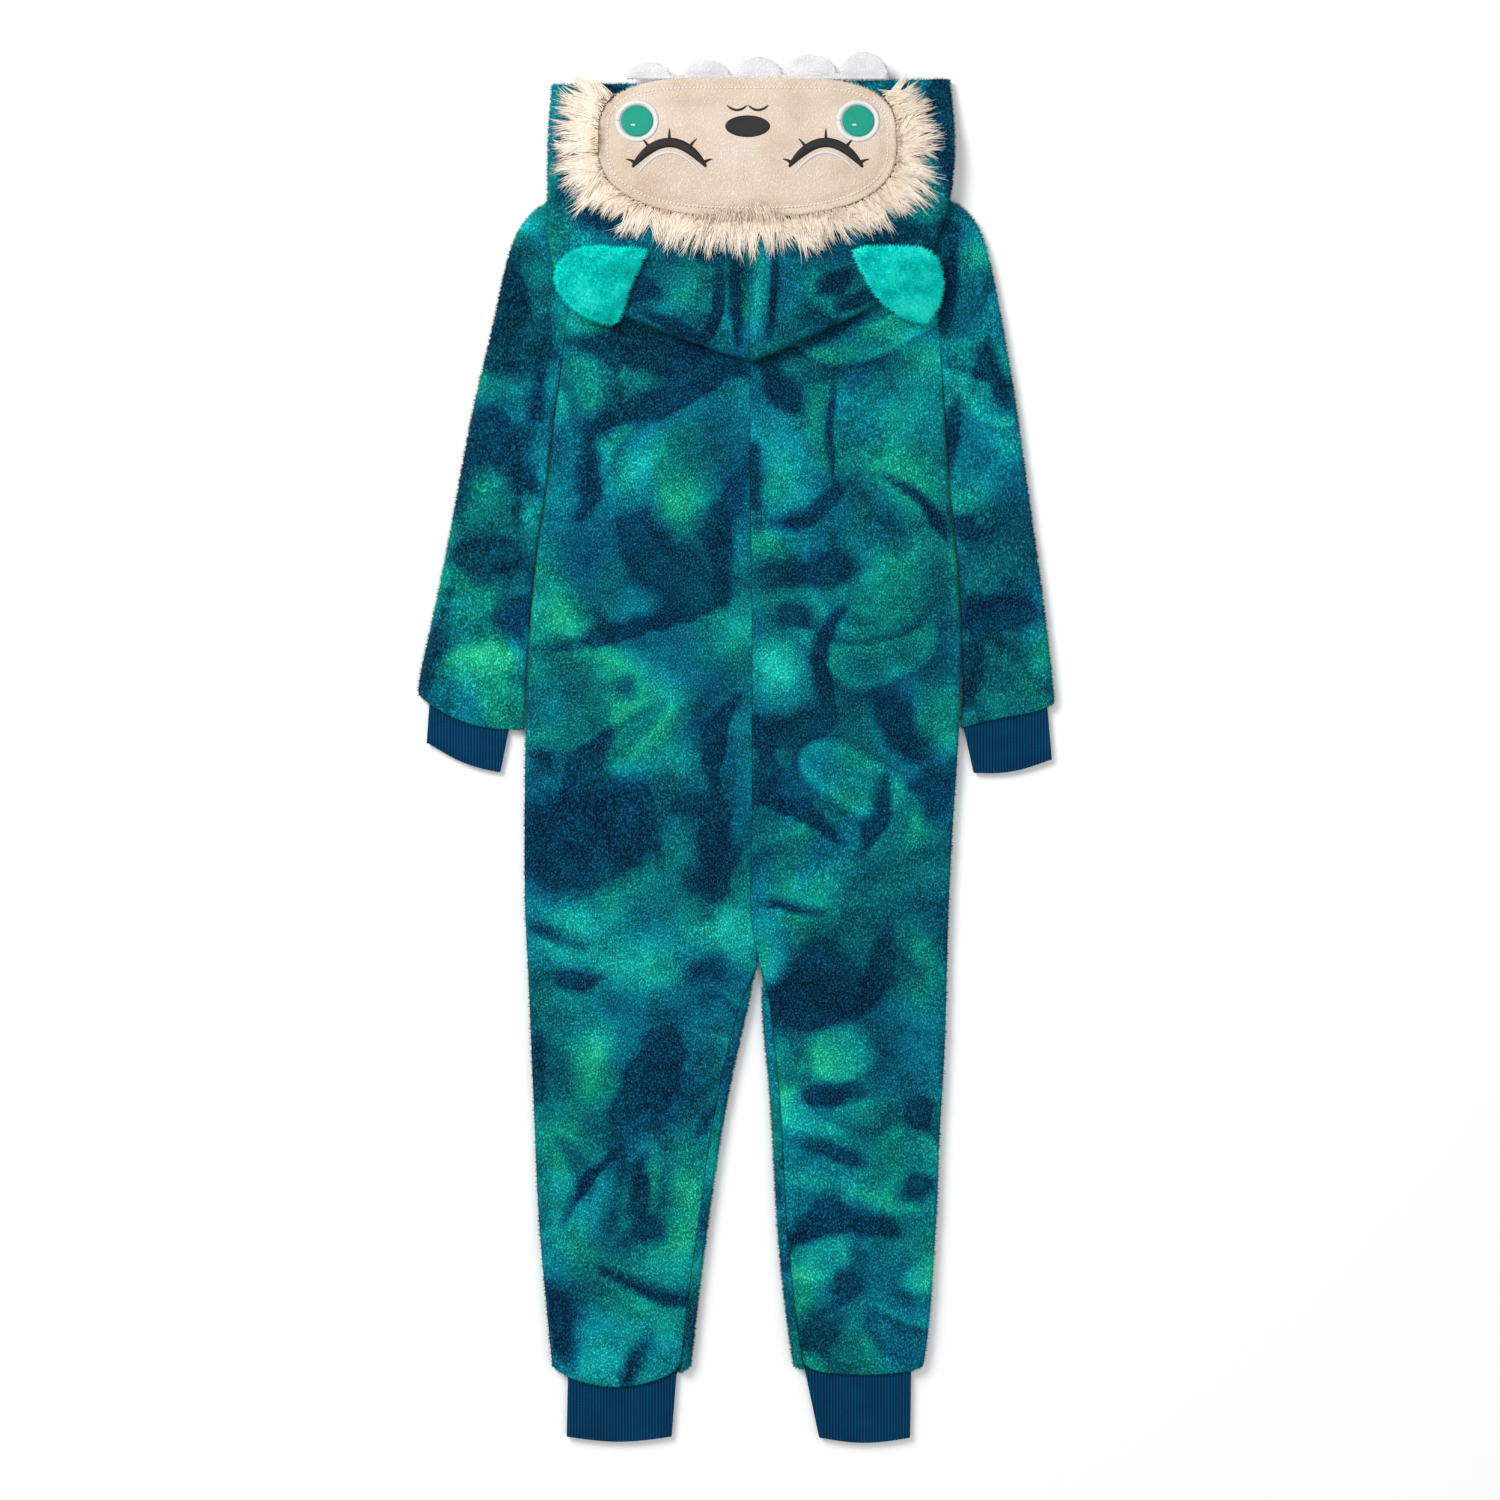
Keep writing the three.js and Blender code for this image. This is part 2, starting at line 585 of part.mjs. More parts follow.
// Cuff: a flattened tube, ribbed along its upper side and plain inside and underneath
function cuff(spec) {
  const round = CUFF_HIGH / 2;
  const bore = round - RIB_KNIT;
  const ring = [];
  for (let i = 0; i <= 2 * spec.ribs; i++) {
    ring.push({ t: i / (2 * spec.ribs), angle: 90, dip: i % 2 ? 0 : RIB_RISE });
  }
  for (const angle of [45, 0, -45]) ring.push({ t: 1, angle, dip: 0 });
  for (let i = 0; i <= 10; i++) ring.push({ t: 1 - i / 10, angle: -90, dip: 0 });
  for (const angle of [-45, 0, 45]) ring.push({ t: 0, angle, dip: 0 });
  const inward = spec.side === 'left' ? 1 : -1;
  const loop = (end, radius) => ring.map(({ t, angle, dip }) => {
    const turn = THREE.MathUtils.degToRad(angle);
    const shift = mix(1, -1, t) * (round - radius * Math.cos(turn)) * inward;
    const top = hemPoint(spec, mix(spec.from, spec.to, t), shift);
    const foot = new THREE.Vector2(...spec.outer).lerp(new THREE.Vector2(...spec.inner), t);
    foot.x += shift;
    foot.y -= CUFF_BOW * Math.sin(Math.PI * t);
    top.y -= CUFF_GAP;
    const q = top.lerp(foot, end);
    return new THREE.Vector3(q.x, q.y, round + radius * Math.sin(turn) - (radius === round ? dip : 0));
  });
  const points = [loop(0, round), loop(1, round), loop(1, bore), loop(0, bore)].flat();
  const n = ring.length;
  const faces = [];
  for (let k = 0; k < 4; k++) {
    for (let i = 0; i < n; i++) {
      const [a, b] = [k * n + i, k * n + (i + 1) % n];
      const [c, d] = [((k + 1) % 4) * n + i, ((k + 1) % 4) * n + (i + 1) % n];
      faces.push([a, b, d], [a, d, c]);
    }
  }
  return solid(points, faces);
}

// Middle heights of the hood's two layers. Past the shoulders both come down to the surface.
function hoodDrop(y) {
  return HOOD_LIFT * ease((y - HOOD_TURN_Y.start) / (HOOD_TURN_Y.end - HOOD_TURN_Y.start));
}
const hoodUnder = y => HOOD_LIFT + HOOD_PLUSH / 2 - hoodDrop(y);
const hoodOver = (x, y) => hoodUnder(y) + HOOD_HIGH - HOOD_PLUSH + folds(HOOD_FOLDS, x, y);
const hoodTop = (x, y) => hoodOver(x, y) + HOOD_PLUSH / 2 + LAID_ON;

// Hood half: each row runs from the centre seam over the upper layer, round the fold and back underneath
// to the centre seam, or to the edge of the face opening between the cheeks
function hoodHalf(hand) {
  const over = [0, 0.05, 0.1, 0.15, 0.21, 0.28, 0.42, 0.6, 0.8, 1];
  const under = [1, 0.66, 0.33, 0];
  const stations = HOOD_EDGES[hand];
  const half = HOOD_HIGH / 2;
  const bend = half - HOOD_PLUSH / 2;
  const sign = SIGN[hand];
  const grid = stations.map(({ x, y, seam }) => {
    const edge = new THREE.Vector2(x, y);
    const middle = new THREE.Vector2(centre(seam) + sign * HOOD_SEAM / 2, seam);
    const length = edge.distanceTo(middle);
    const cheek = clamp((CHEEK_TOP_Y - y) / (CHEEK_TOP_Y - CHEEK_NECK_Y), 0, 1);
    const reach = mix(CHEEK_TOP_REACH + half, length - SEAM, cheek);
    const place = d => edge.clone().lerp(middle, d / length);
    const row = [];
    for (const f of over) {
      const p = place(mix(length, half, f));
      const fade = ease((1 - f) * 5);
      row.push(new THREE.Vector3(p.x, p.y, mix(hoodUnder(p.y) + 2 * bend, hoodOver(p.x, p.y), fade)));
    }
    for (const angle of [60, 30, 0, -30, -60]) {
      const turn = THREE.MathUtils.degToRad(angle);
      const p = place(half - bend * Math.cos(turn));
      row.push(new THREE.Vector3(p.x, p.y, hoodUnder(p.y) + bend * (1 + Math.sin(turn))));
    }
    for (const f of under) {
      const p = place(mix(reach, half, f));
      row.push(new THREE.Vector3(p.x, p.y, hoodUnder(p.y)));
    }
    return row;
  });
  const bag = wall(grid, HOOD_PLUSH);
  return combine(bag, neckEdge(hand), 'join');
}

// Neck edge of each hood half: it stands from the front neckline up past the back one
function neckEdge(hand) {
  const sign = SIGN[hand];
  const grid = [SEAM / 2, 14, 28, 42, 56, 70, 83].map(away => {
    const x = centre(SHOULDER_Y) + sign * away;
    const front = neckLine('front', away) + SEAM + HOOD_PLUSH / 2;
    const back = neckLine('back', away) + SEAM + HOOD_PLUSH / 2;
    const places = [[front, 0], [mix(front, back, 0.6), 2.6], [back, 5], [back, hoodUnder(back)]];
    return places.map(([y, z]) => new THREE.Vector3(x, y, z));
  });
  return wall(grid, HOOD_PLUSH);
}

// Point on the face panel's rounded outline at an angle, grown by a margin
function faceEdge(degrees, margin = 0) {
  const angle = THREE.MathUtils.degToRad(degrees);
  const [c, s] = [Math.cos(angle), Math.sin(angle)];
  const square = s > 0 ? FACE.square_front : FACE.square_low;
  const reach = (Math.abs(c) ** square + Math.abs(s) ** square) ** (-1 / square);
  const [across, up] = [FACE.half_wide, FACE.half_high].map(half => half * reach + margin);
  return new THREE.Vector2(FACE.x + across * c, FACE.y + up * s);
}

function facePanel() {
  const outline = [];
  for (let i = 0; i < 36; i++) outline.push(faceEdge(i * 10));
  const crown = (x, y, ring) => hoodTop(x, y) + mix(FACE.crown, FACE.edge, ring ** 5);
  return pad(outline, [1, 0.94, 0.62], crown, (x, y) => hoodTop(x, y));
}

// Fur trim: a narrow strip round the panel's sides and lower edge, with one tapering lock from each stretch
function furTrim() {
  const n = FUR.locks;
  const points = [];
  const faces = [];
  const quad = (a, b, c, d) => faces.push([a, b, c], [a, c, d]);
  const angleAt = i => mix(FUR.from, FUR.to, i / n);
  for (let i = 0; i <= n; i++) {
    for (const margin of [SEAM + 0.4, SEAM + 0.4 + FUR.strip]) {
      const p = faceEdge(angleAt(i), margin);
      for (const up of [FUR.deep, 0]) points.push(new THREE.Vector3(p.x, p.y, hoodTop(p.x, p.y) + up));
    }
  }
  const [inTop, inLow, outTop, outLow] = [0, 1, 2, 3];
  quad(inTop, outTop, outLow, inLow);
  quad(4 * n + inTop, 4 * n + inLow, 4 * n + outLow, 4 * n + outTop);
  for (let i = 0; i < n; i++) {
    const [a, b] = [4 * i, 4 * i + 4];
    quad(a + inTop, b + inTop, b + outTop, a + outTop);
    quad(a + inLow, a + outLow, b + outLow, b + inLow);
    quad(a + inTop, a + inLow, b + inLow, b + inTop);
    lock(points, faces, [a + outTop, b + outTop, b + outLow, a + outLow], angleAt(i + 0.5), i);
  }
  return solid(points, faces);
}

// One lock of fur grown from four corner points of the strip: a shoulder part of the way out, then the tip
function lock(points, faces, root, degrees, number) {
  const wave = Math.sin(number * 2.4) + 0.5 * Math.sin(number * 5.3 + 1);
  const root3 = root.map(i => points[i]);
  const middle = root3.reduce((sum, p) => sum.add(p), new THREE.Vector3()).divideScalar(4);
  const near = faceEdge(degrees);
  const far = faceEdge(degrees + wave * 2.5, 30);
  const away = far.sub(near).normalize();
  const length = furLength(degrees) * (1 + FUR.spread * Math.sin(number * 3.7 + 0.6));
  const [knee, tip] = [0.5, 1].map(part => middle.clone().add(new THREE.Vector3(away.x, away.y, 0)
    .multiplyScalar(length * part)));
  const across = new THREE.Vector3(-away.y, away.x, 0).multiplyScalar(1.5);
  const base = points.length;
  const lift = hoodTop(knee.x, knee.y) + 1;
  const flip = root3[1].clone().sub(root3[0]).dot(across) > 0 ? 1 : -1;
  for (const [s, up] of [[-flip, 1.9], [flip, 1.9], [flip, 0], [-flip, 0]]) {
    points.push(knee.clone().addScaledVector(across, s).setZ(lift + up));
  }
  points.push(tip.setZ(hoodTop(tip.x, tip.y) + 0.5));
  for (let k = 0; k < 4; k++) {
    const m = (k + 1) % 4;
    faces.push([root[k], root[m], base + m], [root[k], base + m, base + k], [base + k, base + m, base + 4]);
  }
}

// White edging at the hood's front edge: five padded domes on one strip, in one body
function scallopTrim() {
  const outline = [];
  const low = SCALLOP_STRIP.low;
  outline.push(new THREE.Vector2(SCALLOPS[0].from, low));
  outline.push(new THREE.Vector2(SCALLOPS.at(-1).to, low));
  for (const { from, to, peak } of [...SCALLOPS].reverse()) {
    for (const angle of [0, 30, 60, 90, 120, 150, 180]) {
      const turn = THREE.MathUtils.degToRad(angle);
      const x = mix(from, to, (1 + Math.cos(turn)) / 2);
      const rise = Math.max(0, Math.sin(turn)) ** 0.9;
      outline.push(new THREE.Vector2(x, mix(SCALLOP_STRIP.high, peak, rise)));
    }
  }
  const z = hoodTop(0, low);
  const shape = new THREE.Shape(outline);
  const geometry = new THREE.ExtrudeGeometry(shape, { depth: SCALLOP_STRIP.deep, bevelEnabled: false });
  geometry.translate(0, 0, z);
  return geometry;
}

// Padded ear lying on the hood. Past the hood's fold its free end droops a little.
function ear(hand) {
  const outline = EARS[hand].map(([x, y]) => new THREE.Vector2(x, y));
  const [from, to] = EAR_LINES[hand].map(([x, y]) => new THREE.Vector2(x, y));
  const line = to.clone().sub(from).normalize();
  const base = (x, y) => {
    const outside = ((x - from.x) * line.y - (y - from.y) * line.x) * -SIGN[hand];
    return hoodTop(x, y) + EAR.rest - EAR.droop * ease((outside - 2) / EAR.droop_reach);
  };
  const crown = (x, y, ring) => base(x, y) + mix(EAR.crown, EAR.edge, ring ** 3);
  return pad(outline, [1, 0.88, 0.6], crown, base);
}

// Box between two corners
function box(low, high) {
  const size = high.map((value, i) => value - low[i]);
  const geometry = new THREE.BoxGeometry(...size);
  geometry.translate(...low.map((value, i) => value + size[i] / 2));
  return geometry;
}

function zipTape(hand) {
  const sign = SIGN[hand];
  const z = PLUSH + 0.3 + ZIP.tape_deep / 2;
  const grid = [ZIP.top_y - 6, 400, 300, 200, 133, 60, 0, -60, ZIP.low_y + 6].map(y => (
    [ZIP.tooth_gap, ZIP.tape_wide].map(d => new THREE.Vector3(centre(y) + sign * d, y, z))
  ));
  return wall(grid, ZIP.tape_deep);
}

// Closed geometry whose box corners are shared, ready for joining
function merged(geometry) {
  geometry.deleteAttribute('normal');
  geometry.deleteAttribute('uv');
  return mergeVertices(geometry);
}

// Slider: two plates with a core above the tapes' ends, and a bridge under the lower plate
function zipSlider() {
  const x = centre(SLIDER.y);
  const half = SLIDER.wide / 2;
  const tail = SLIDER.y - SLIDER.long / 2;
  const nose = SLIDER.y + SLIDER.long / 2 + SLIDER.core;
  const plate = z => box([x - half, tail, z], [x + half, nose, z + SLIDER.plate]);
  const core = box(
    [x - SLIDER.core, ZIP.top_y - 5, SLIDER.low_plate],
    [x + SLIDER.core, nose, SLIDER.high_plate + SLIDER.plate / 2],
  );
  const bw = BRIDGE.wide / 2;
  const bl = BRIDGE.long / 2;
  const skin = box([x - bw, SLIDER.y - bl, BRIDGE.low], [x + bw, SLIDER.y + bl, BRIDGE.low + BRIDGE.skin]);
  const posts = [-1, 1].map(s => box(
    [x - bw, SLIDER.y + s * (bl - BRIDGE.post / 2) - BRIDGE.post / 2, BRIDGE.low],
    [x + bw, SLIDER.y + s * (bl - BRIDGE.post / 2) + BRIDGE.post / 2, SLIDER.low_plate + 0.3],
  ));
  return [plate(SLIDER.high_plate), core, skin, ...posts]
    .map(merged)
    .reduce((body, piece) => combine(body, piece, 'join'), merged(plate(SLIDER.low_plate)));
}

// Pull tab: a flat plate with two arms and a round bar that turns in the bridge
function zipPull() {
  const x = centre(SLIDER.y);
  const { z, thick, half_wide: half, long, slot_half: slot, slot_long: reach } = PULL;
  const shape = new THREE.Shape();
  shape.moveTo(-half, 0.4);
  shape.lineTo(-half, -long + half);
  shape.absarc(0, -long + half, half, Math.PI, 2 * Math.PI, false);
  shape.lineTo(half, 0.4);
  shape.lineTo(-half, 0.4);
  const window = new THREE.Path();
  window.moveTo(-slot, -0.4);
  window.lineTo(-slot, -reach);
  window.lineTo(slot, -reach);
  window.lineTo(slot, -0.4);
  window.lineTo(-slot, -0.4);
  shape.holes.push(window);
  const geometry = new THREE.ExtrudeGeometry(shape, { depth: thick, bevelEnabled: false, curveSegments: 10 });
  geometry.translate(x, SLIDER.y, z - thick / 2);
  return geometry;
}

const cloth = (colour, roughness = 0.95) => ({ color: colour, roughness, metalness: 0 });
const FINISHES = {
  plush: cloth(0x12707c),
  rib: cloth(0x0e4468),
  cream: cloth(0xe9d6bd),
  fur: cloth(0xe6d2b8),
  white: cloth(0xf2f0ee),
  teal: cloth(0x1fae9c),
  tape: cloth(0x0f3d5c),
  metal: { color: 0x2a6f80, roughness: 0.45, metalness: 0.3 },
};

const onesie = new THREE.Group();

function add(name, geometry, finish) {
  const mesh = new THREE.Mesh(geometry, new THREE.MeshStandardMaterial(FINISHES[finish]));
  mesh.name = name;
  onesie.add(mesh);
}

for (const hand of ['left', 'right']) {
  add(`front_${hand}`, frontPanel(hand), 'plush');
  add(`back_${hand}`, backPanel(hand), 'plush');
  add(`sleeve_${hand}`, sleeve(hand), 'plush');
  add(`hood_${hand}`, hoodHalf(hand), 'plush');
  add(`ear_${hand}`, ear(hand), 'teal');
  add(`zip_tape_${hand}`, zipTape(hand), 'tape');
}
for (const spec of CUFFS) add(`${CUFF_NAMES[spec.limb]}_${spec.side}`, cuff(spec), 'rib');
add('face_panel', facePanel(), 'cream');
add('fur_trim', furTrim(), 'fur');
add('scallop_trim', scallopTrim(), 'white');
add('zip_slider', zipSlider(), 'metal');
add('zip_pull', zipPull(), 'metal');

export default onesie;
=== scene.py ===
"""A child's hooded plush onesie, laid flat with its back up and its hood folded down."""

import math
import random
from collections import namedtuple

import bmesh
import bpy
import numpy as np
from mathutils import Matrix, Vector, noise
from mathutils.bvhtree import BVHTree


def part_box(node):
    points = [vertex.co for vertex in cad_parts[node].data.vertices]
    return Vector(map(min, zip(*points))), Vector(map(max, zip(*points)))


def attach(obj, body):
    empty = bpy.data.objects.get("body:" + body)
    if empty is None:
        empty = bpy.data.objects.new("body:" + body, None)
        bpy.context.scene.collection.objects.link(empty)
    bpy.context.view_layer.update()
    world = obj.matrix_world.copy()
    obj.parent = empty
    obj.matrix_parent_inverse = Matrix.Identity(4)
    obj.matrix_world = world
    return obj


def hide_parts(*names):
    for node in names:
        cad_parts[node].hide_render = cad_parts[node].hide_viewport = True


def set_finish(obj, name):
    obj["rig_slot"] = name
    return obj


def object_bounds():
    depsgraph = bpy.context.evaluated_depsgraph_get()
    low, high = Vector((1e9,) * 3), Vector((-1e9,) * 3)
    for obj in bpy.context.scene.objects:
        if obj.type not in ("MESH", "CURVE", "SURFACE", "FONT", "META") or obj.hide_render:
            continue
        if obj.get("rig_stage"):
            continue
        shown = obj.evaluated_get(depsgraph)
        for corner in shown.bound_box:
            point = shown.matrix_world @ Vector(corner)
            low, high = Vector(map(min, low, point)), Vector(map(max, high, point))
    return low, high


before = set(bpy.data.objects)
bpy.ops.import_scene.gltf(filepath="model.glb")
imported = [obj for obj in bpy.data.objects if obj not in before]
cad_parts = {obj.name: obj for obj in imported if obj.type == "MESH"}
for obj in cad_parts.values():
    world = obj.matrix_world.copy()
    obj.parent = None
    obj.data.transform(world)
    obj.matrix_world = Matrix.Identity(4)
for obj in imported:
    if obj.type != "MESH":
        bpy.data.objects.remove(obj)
cad_low, cad_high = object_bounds()

# Front panels, left and right, which lie underneath: dyed plush, one leg and half the body each.
# Their edges turn up at the sides and round the inner legs, where they are sewn to the back.
# The cloth is a soft copy of the cut piece, with the dye laid on it in strokes and glows.
MM = 0.001
MERGE = 0.01 * MM
RIM_ANGLE, RIM_FIRM = math.radians(50), 0.62
Stroke = namedtuple("Stroke", "x y long wide turn bow soft amount")
Crease = namedtuple("Crease", "x y long wide turn bow rise")
STROKE_SWELL, STROKE_PINCH, STROKE_LEAST = 1.15, 0.45, 0.35
STROKE_FADE, STROKE_END = 0.8, 0.3
DYE_SEED = 5
DYE_WANDERS = ((75, 11), (26, 2.4))
noise.seed_set(DYE_SEED)
FRONT_STROKES = [
    (-60, 300, 90, 26, 40, 20, 0.6, 0.9),
    (90, 180, 100, 24, -35, -18, 0.6, 0.9),
    (-110, 60, 70, 30, 10, 12, 0.7, 0.8),
    (120, -40, 80, 26, 70, 14, 0.5, 0.8),
    (-90, -220, 90, 22, -50, 16, 0.5, 0.9),
    (100, -330, 80, 24, 35, -12, 0.6, 0.8),
    (-110, -470, 60, 20, 15, 10, 0.6, 0.8),
]
FRONT_GLOWS = [
    (60, 330, 50, 34, 20, 0, 1, 0.7),
    (-80, 180, 44, 36, 0, 0, 1, 0.7),
    (110, 60, 40, 30, 60, 0, 1, 0.6),
    (-120, -110, 50, 30, 80, 0, 1, 0.7),
    (90, -210, 44, 30, 0, 0, 1, 0.6),
    (-100, -350, 50, 26, 70, 0, 1, 0.6),
    (110, -460, 40, 24, 10, 0, 1, 0.6),
]
FRONT_CREASES = [
    (-90, 260, 80, 9, 30, 8, 0.4),
    (100, 90, 90, 10, -24, -6, 0.4),
    (-110, -260, 70, 8, 60, 6, 0.4),
    (100, -420, 60, 8, -60, 6, 0.4),
]


def soft_copy(node, name, rounds):
    """A copy of a cut piece: loose triangles merged, paired into quads and rounded off."""
    shape = bmesh.new()
    shape.from_mesh(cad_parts[node].data)
    bmesh.ops.remove_doubles(shape, verts=shape.verts, dist=MERGE)
    bmesh.ops.join_triangles(
        shape,
        faces=shape.faces,
        angle_face_threshold=math.radians(50),
        angle_shape_threshold=math.radians(80),
    )
    firm = shape.edges.layers.float.new("crease_edge")
    for edge in shape.edges:
        if edge.is_manifold and edge.calc_face_angle() > RIM_ANGLE:
            edge[firm] = RIM_FIRM
    rough = bpy.data.meshes.new(name + "_cut")
    shape.to_mesh(rough)
    shape.free()
    cut = bpy.data.objects.new(name + "_cut", rough)
    bpy.context.scene.collection.objects.link(cut)
    rounding = cut.modifiers.new("rounding", "SUBSURF")
    rounding.levels = rounding.render_levels = rounds
    seen = bpy.context.evaluated_depsgraph_get()
    mesh = bpy.data.meshes.new_from_object(cut.evaluated_get(seen))
    bpy.data.objects.remove(cut)
    bpy.data.meshes.remove(rough)
    return shown(name, mesh)


def shown(name, mesh):
    """Links a mesh as a smooth object of that name."""
    mesh.name = name
    mesh.materials.clear()
    mesh.shade_smooth()
    piece = bpy.data.objects.new(name, mesh)
    bpy.context.scene.collection.objects.link(piece)
    return piece


def places_of(mesh):
    """The vertices of a mesh as an array, in millimetres."""
    places = np.empty(len(mesh.vertices) * 3)
    mesh.vertices.foreach_get("co", places)
    return places.reshape(-1, 3) / MM


def put_back(mesh, places):
    """Moves the vertices of a mesh to these places, in millimetres."""
    mesh.vertices.foreach_set("co", (places * MM).ravel())
    mesh.update()


def along_and_across(places, row):
    """How far each place lies along a bent stroke or crease, and across it."""
    angle = math.radians(row.turn)
    dx, dy = places[:, 0] - row.x, places[:, 1] - row.y
    along = (dx * math.cos(angle) + dy * math.sin(angle)) / row.long
    across = dy * math.cos(angle) - dx * math.sin(angle) - row.bow * along**2
    return along, across


def press(piece, creases):
    """Raises or lowers the cloth along soft creases, both of its skins together."""
    places = places_of(piece.data)
    lift = np.zeros(len(places))
    for row in map(Crease._make, creases):
        along, across = along_and_across(places, row)
        lift += row.rise * np.exp(-((across / row.wide) ** 2) - along**4)
    places[:, 2] += lift
    put_back(piece.data, places)


def cover(places, strokes):
    """How much dye the strokes leave at each place, from 0 to 1."""
    bare = np.ones(len(places))
    for row in map(Stroke._make, strokes):
        along, across = along_and_across(places, row)
        wide = np.where(across > 0, row.wide, row.wide * row.soft)
        wide = wide * (STROKE_SWELL - STROKE_PINCH * along**2).clip(STROKE_LEAST)
        fade = STROKE_FADE * along**2
        bare *= 1 - row.amount * np.exp(-((across / wide) ** 2) - fade - STROKE_END * along**6)
    return 1 - bare


def dye(piece, shift, strokes, glows):
    """Lays strokes of deep dye and glows on a piece cut from its own place in the printed cloth, a few
    of them painted shade and painted highlight.
    """
    places = places_of(piece.data)
    wander = np.zeros(places.shape)
    for size, reach in DYE_WANDERS:
        wander += [noise.noise_vector(Vector(p) / size + Vector(shift)) * reach for p in places]
    marks = {"deep": cover(places + wander, strokes), "glow": cover(places + wander, glows)}
    for name, values in marks.items():
        kept = piece.data.attributes.new(name, "FLOAT", "POINT")
        kept.data.foreach_set("value", values.astype(np.float32))
    cloth = piece.data.attributes.new("cloth", "FLOAT_VECTOR", "POINT")
    cloth.data.foreach_set("vector", (places * MM + np.array(shift)).ravel())


def add_node(tree, kind, settings=None, **inputs):
    """Adds a shader node, with its settings, and each input set or linked."""
    made = tree.nodes.new(kind)
    for name, value in (settings or {}).items():
        setattr(made, name, value)
    for name, value in inputs.items():
        socket = made.inputs[name.replace("_", " ")]
        if isinstance(value, bpy.types.NodeSocket):
            tree.links.new(value, socket)
        else:
            socket.default_value = value
    return made


def object_place(tree):
    """The Object frame, in which a finish is laid on a piece."""
    return tree.nodes.new("ShaderNodeTexCoord").outputs["Object"]


def noise_at(tree, place, scale, detail):
    """A noise's value at each place."""
    return add_node(tree, "ShaderNodeTexNoise", Vector=place, Scale=scale, Detail=detail).outputs[0]


def maths(tree, operation, *values, clamp=False):
    """The result of a Math node on these values or sockets."""
    made = tree.nodes.new("ShaderNodeMath")
    made.operation, made.use_clamp = operation, clamp
    for socket, value in zip(made.inputs, values):
        if isinstance(value, bpy.types.NodeSocket):
            tree.links.new(value, socket)
        else:
            socket.default_value = value
    return made.outputs[0]


def mixed(tree, share, first, second, way="MIX"):
    """Two colours mixed by a share."""
    made = tree.nodes.new("ShaderNodeMix")
    made.data_type, made.blend_type = "RGBA", way
    for index, value in ((0, share), (6, first), (7, second)):
        if isinstance(value, bpy.types.NodeSocket):
            tree.links.new(value, made.inputs[index])
        else:
            made.inputs[index].default_value = value
    return made.outputs[2]


def ramp(tree, share, stops):
    """A colour ramp through (place, colour) stops."""
    made = add_node(tree, "ShaderNodeValToRGB", Fac=share)
    band = made.color_ramp
    while len(band.elements) < len(stops):
        band.elements.new(0.5)
    for element, (place, colour) in zip(band.elements, stops):
        element.position, element.color = place, colour
    return made.outputs["Color"]


def spread(tree, value, low, high):
    """A value stretched so that low to high fills 0 to 1."""
    made = add_node(
        tree, "ShaderNodeMapRange", Value=value, From_Min=low, From_Max=high
    )
    return made.outputs["Result"]


def srgb(red, green, blue):
    """A colour given as it looks on a screen, from 0 to 255."""
    def linear(part):
        part /= 255
        return part / 12.92 if part <= 0.04045 else ((part + 0.055) / 1.055) ** 2.4
    return (linear(red), linear(green), linear(blue), 1)


def shader_group(name, inputs, outputs):
    """An empty node group with named sockets, and its input and output nodes."""
    tree = bpy.data.node_groups.new(name, "ShaderNodeTree")
    for way, sockets in (("INPUT", inputs), ("OUTPUT", outputs)):
        for socket, kind in sockets.items():
            tree.interface.new_socket(socket, in_out=way, socket_type="NodeSocket" + kind)
    return tree, tree.nodes.new("NodeGroupInput"), tree.nodes.new("NodeGroupOutput")


def pile_group():
    """Short plush pile: painted glints on the tips, painted shade on the roots between them, and
    patches brushed each way.
    """
    tree, given, result = shader_group(
        "plush_pile",
        {
            "Place": "Vector",
            "Color": "Color",
            "Fineness": "Float",
            "Contrast": "Float",
            "Tip": "Color",
            "Tips": "Float",
        },
        {"Color": "Color", "Height": "Float"},
    )
    brushed = add_node(tree, "ShaderNodeMapping", Vector=given.outputs["Place"])
    brushed.inputs["Scale"].default_value = (1, 0.7, 1)
    tufts = add_node(
        tree,
        "ShaderNodeTexNoise",
        Vector=brushed.outputs[0],
        Scale=given.outputs["Fineness"],
        Detail=3,
        Roughness=0.62,
    )
    patches = add_node(
        tree,
        "ShaderNodeTexNoise",
        Vector=given.outputs["Place"],
        Scale=maths(tree, "MULTIPLY", given.outputs["Fineness"], 0.06),
        Detail=3,
        Roughness=0.6,
    )
    lie = spread(tree, patches.outputs[0], 0.3, 0.7)
    tips = spread(tree, tufts.outputs[0], 0.38, 0.64)
    height = maths(tree, "MULTIPLY_ADD", lie, 0.35, tips)
    # painted glints where the pile's tips catch the light, and painted shade on the roots between them
    tip_glints = maths(tree, "POWER", tips, 2.5)
    light = maths(tree, "MULTIPLY_ADD", lie, 0.4, maths(tree, "MULTIPLY", tip_glints, 1.2))
    shade = maths(tree, "SUBTRACT", light, 0.5)
    gain = maths(tree, "MULTIPLY_ADD", shade, given.outputs["Contrast"], 1)
    toned = add_node(tree, "ShaderNodeVectorMath", {"operation": "SCALE"}, Scale=gain)
    tree.links.new(given.outputs["Color"], toned.inputs[0])
    lit = maths(tree, "MULTIPLY", tip_glints, given.outputs["Tips"])
    tipped = mixed(tree, lit, toned.outputs[0], given.outputs["Tip"])
    tree.links.new(tipped, result.inputs["Color"])
    tree.links.new(height, result.inputs["Height"])
    return tree


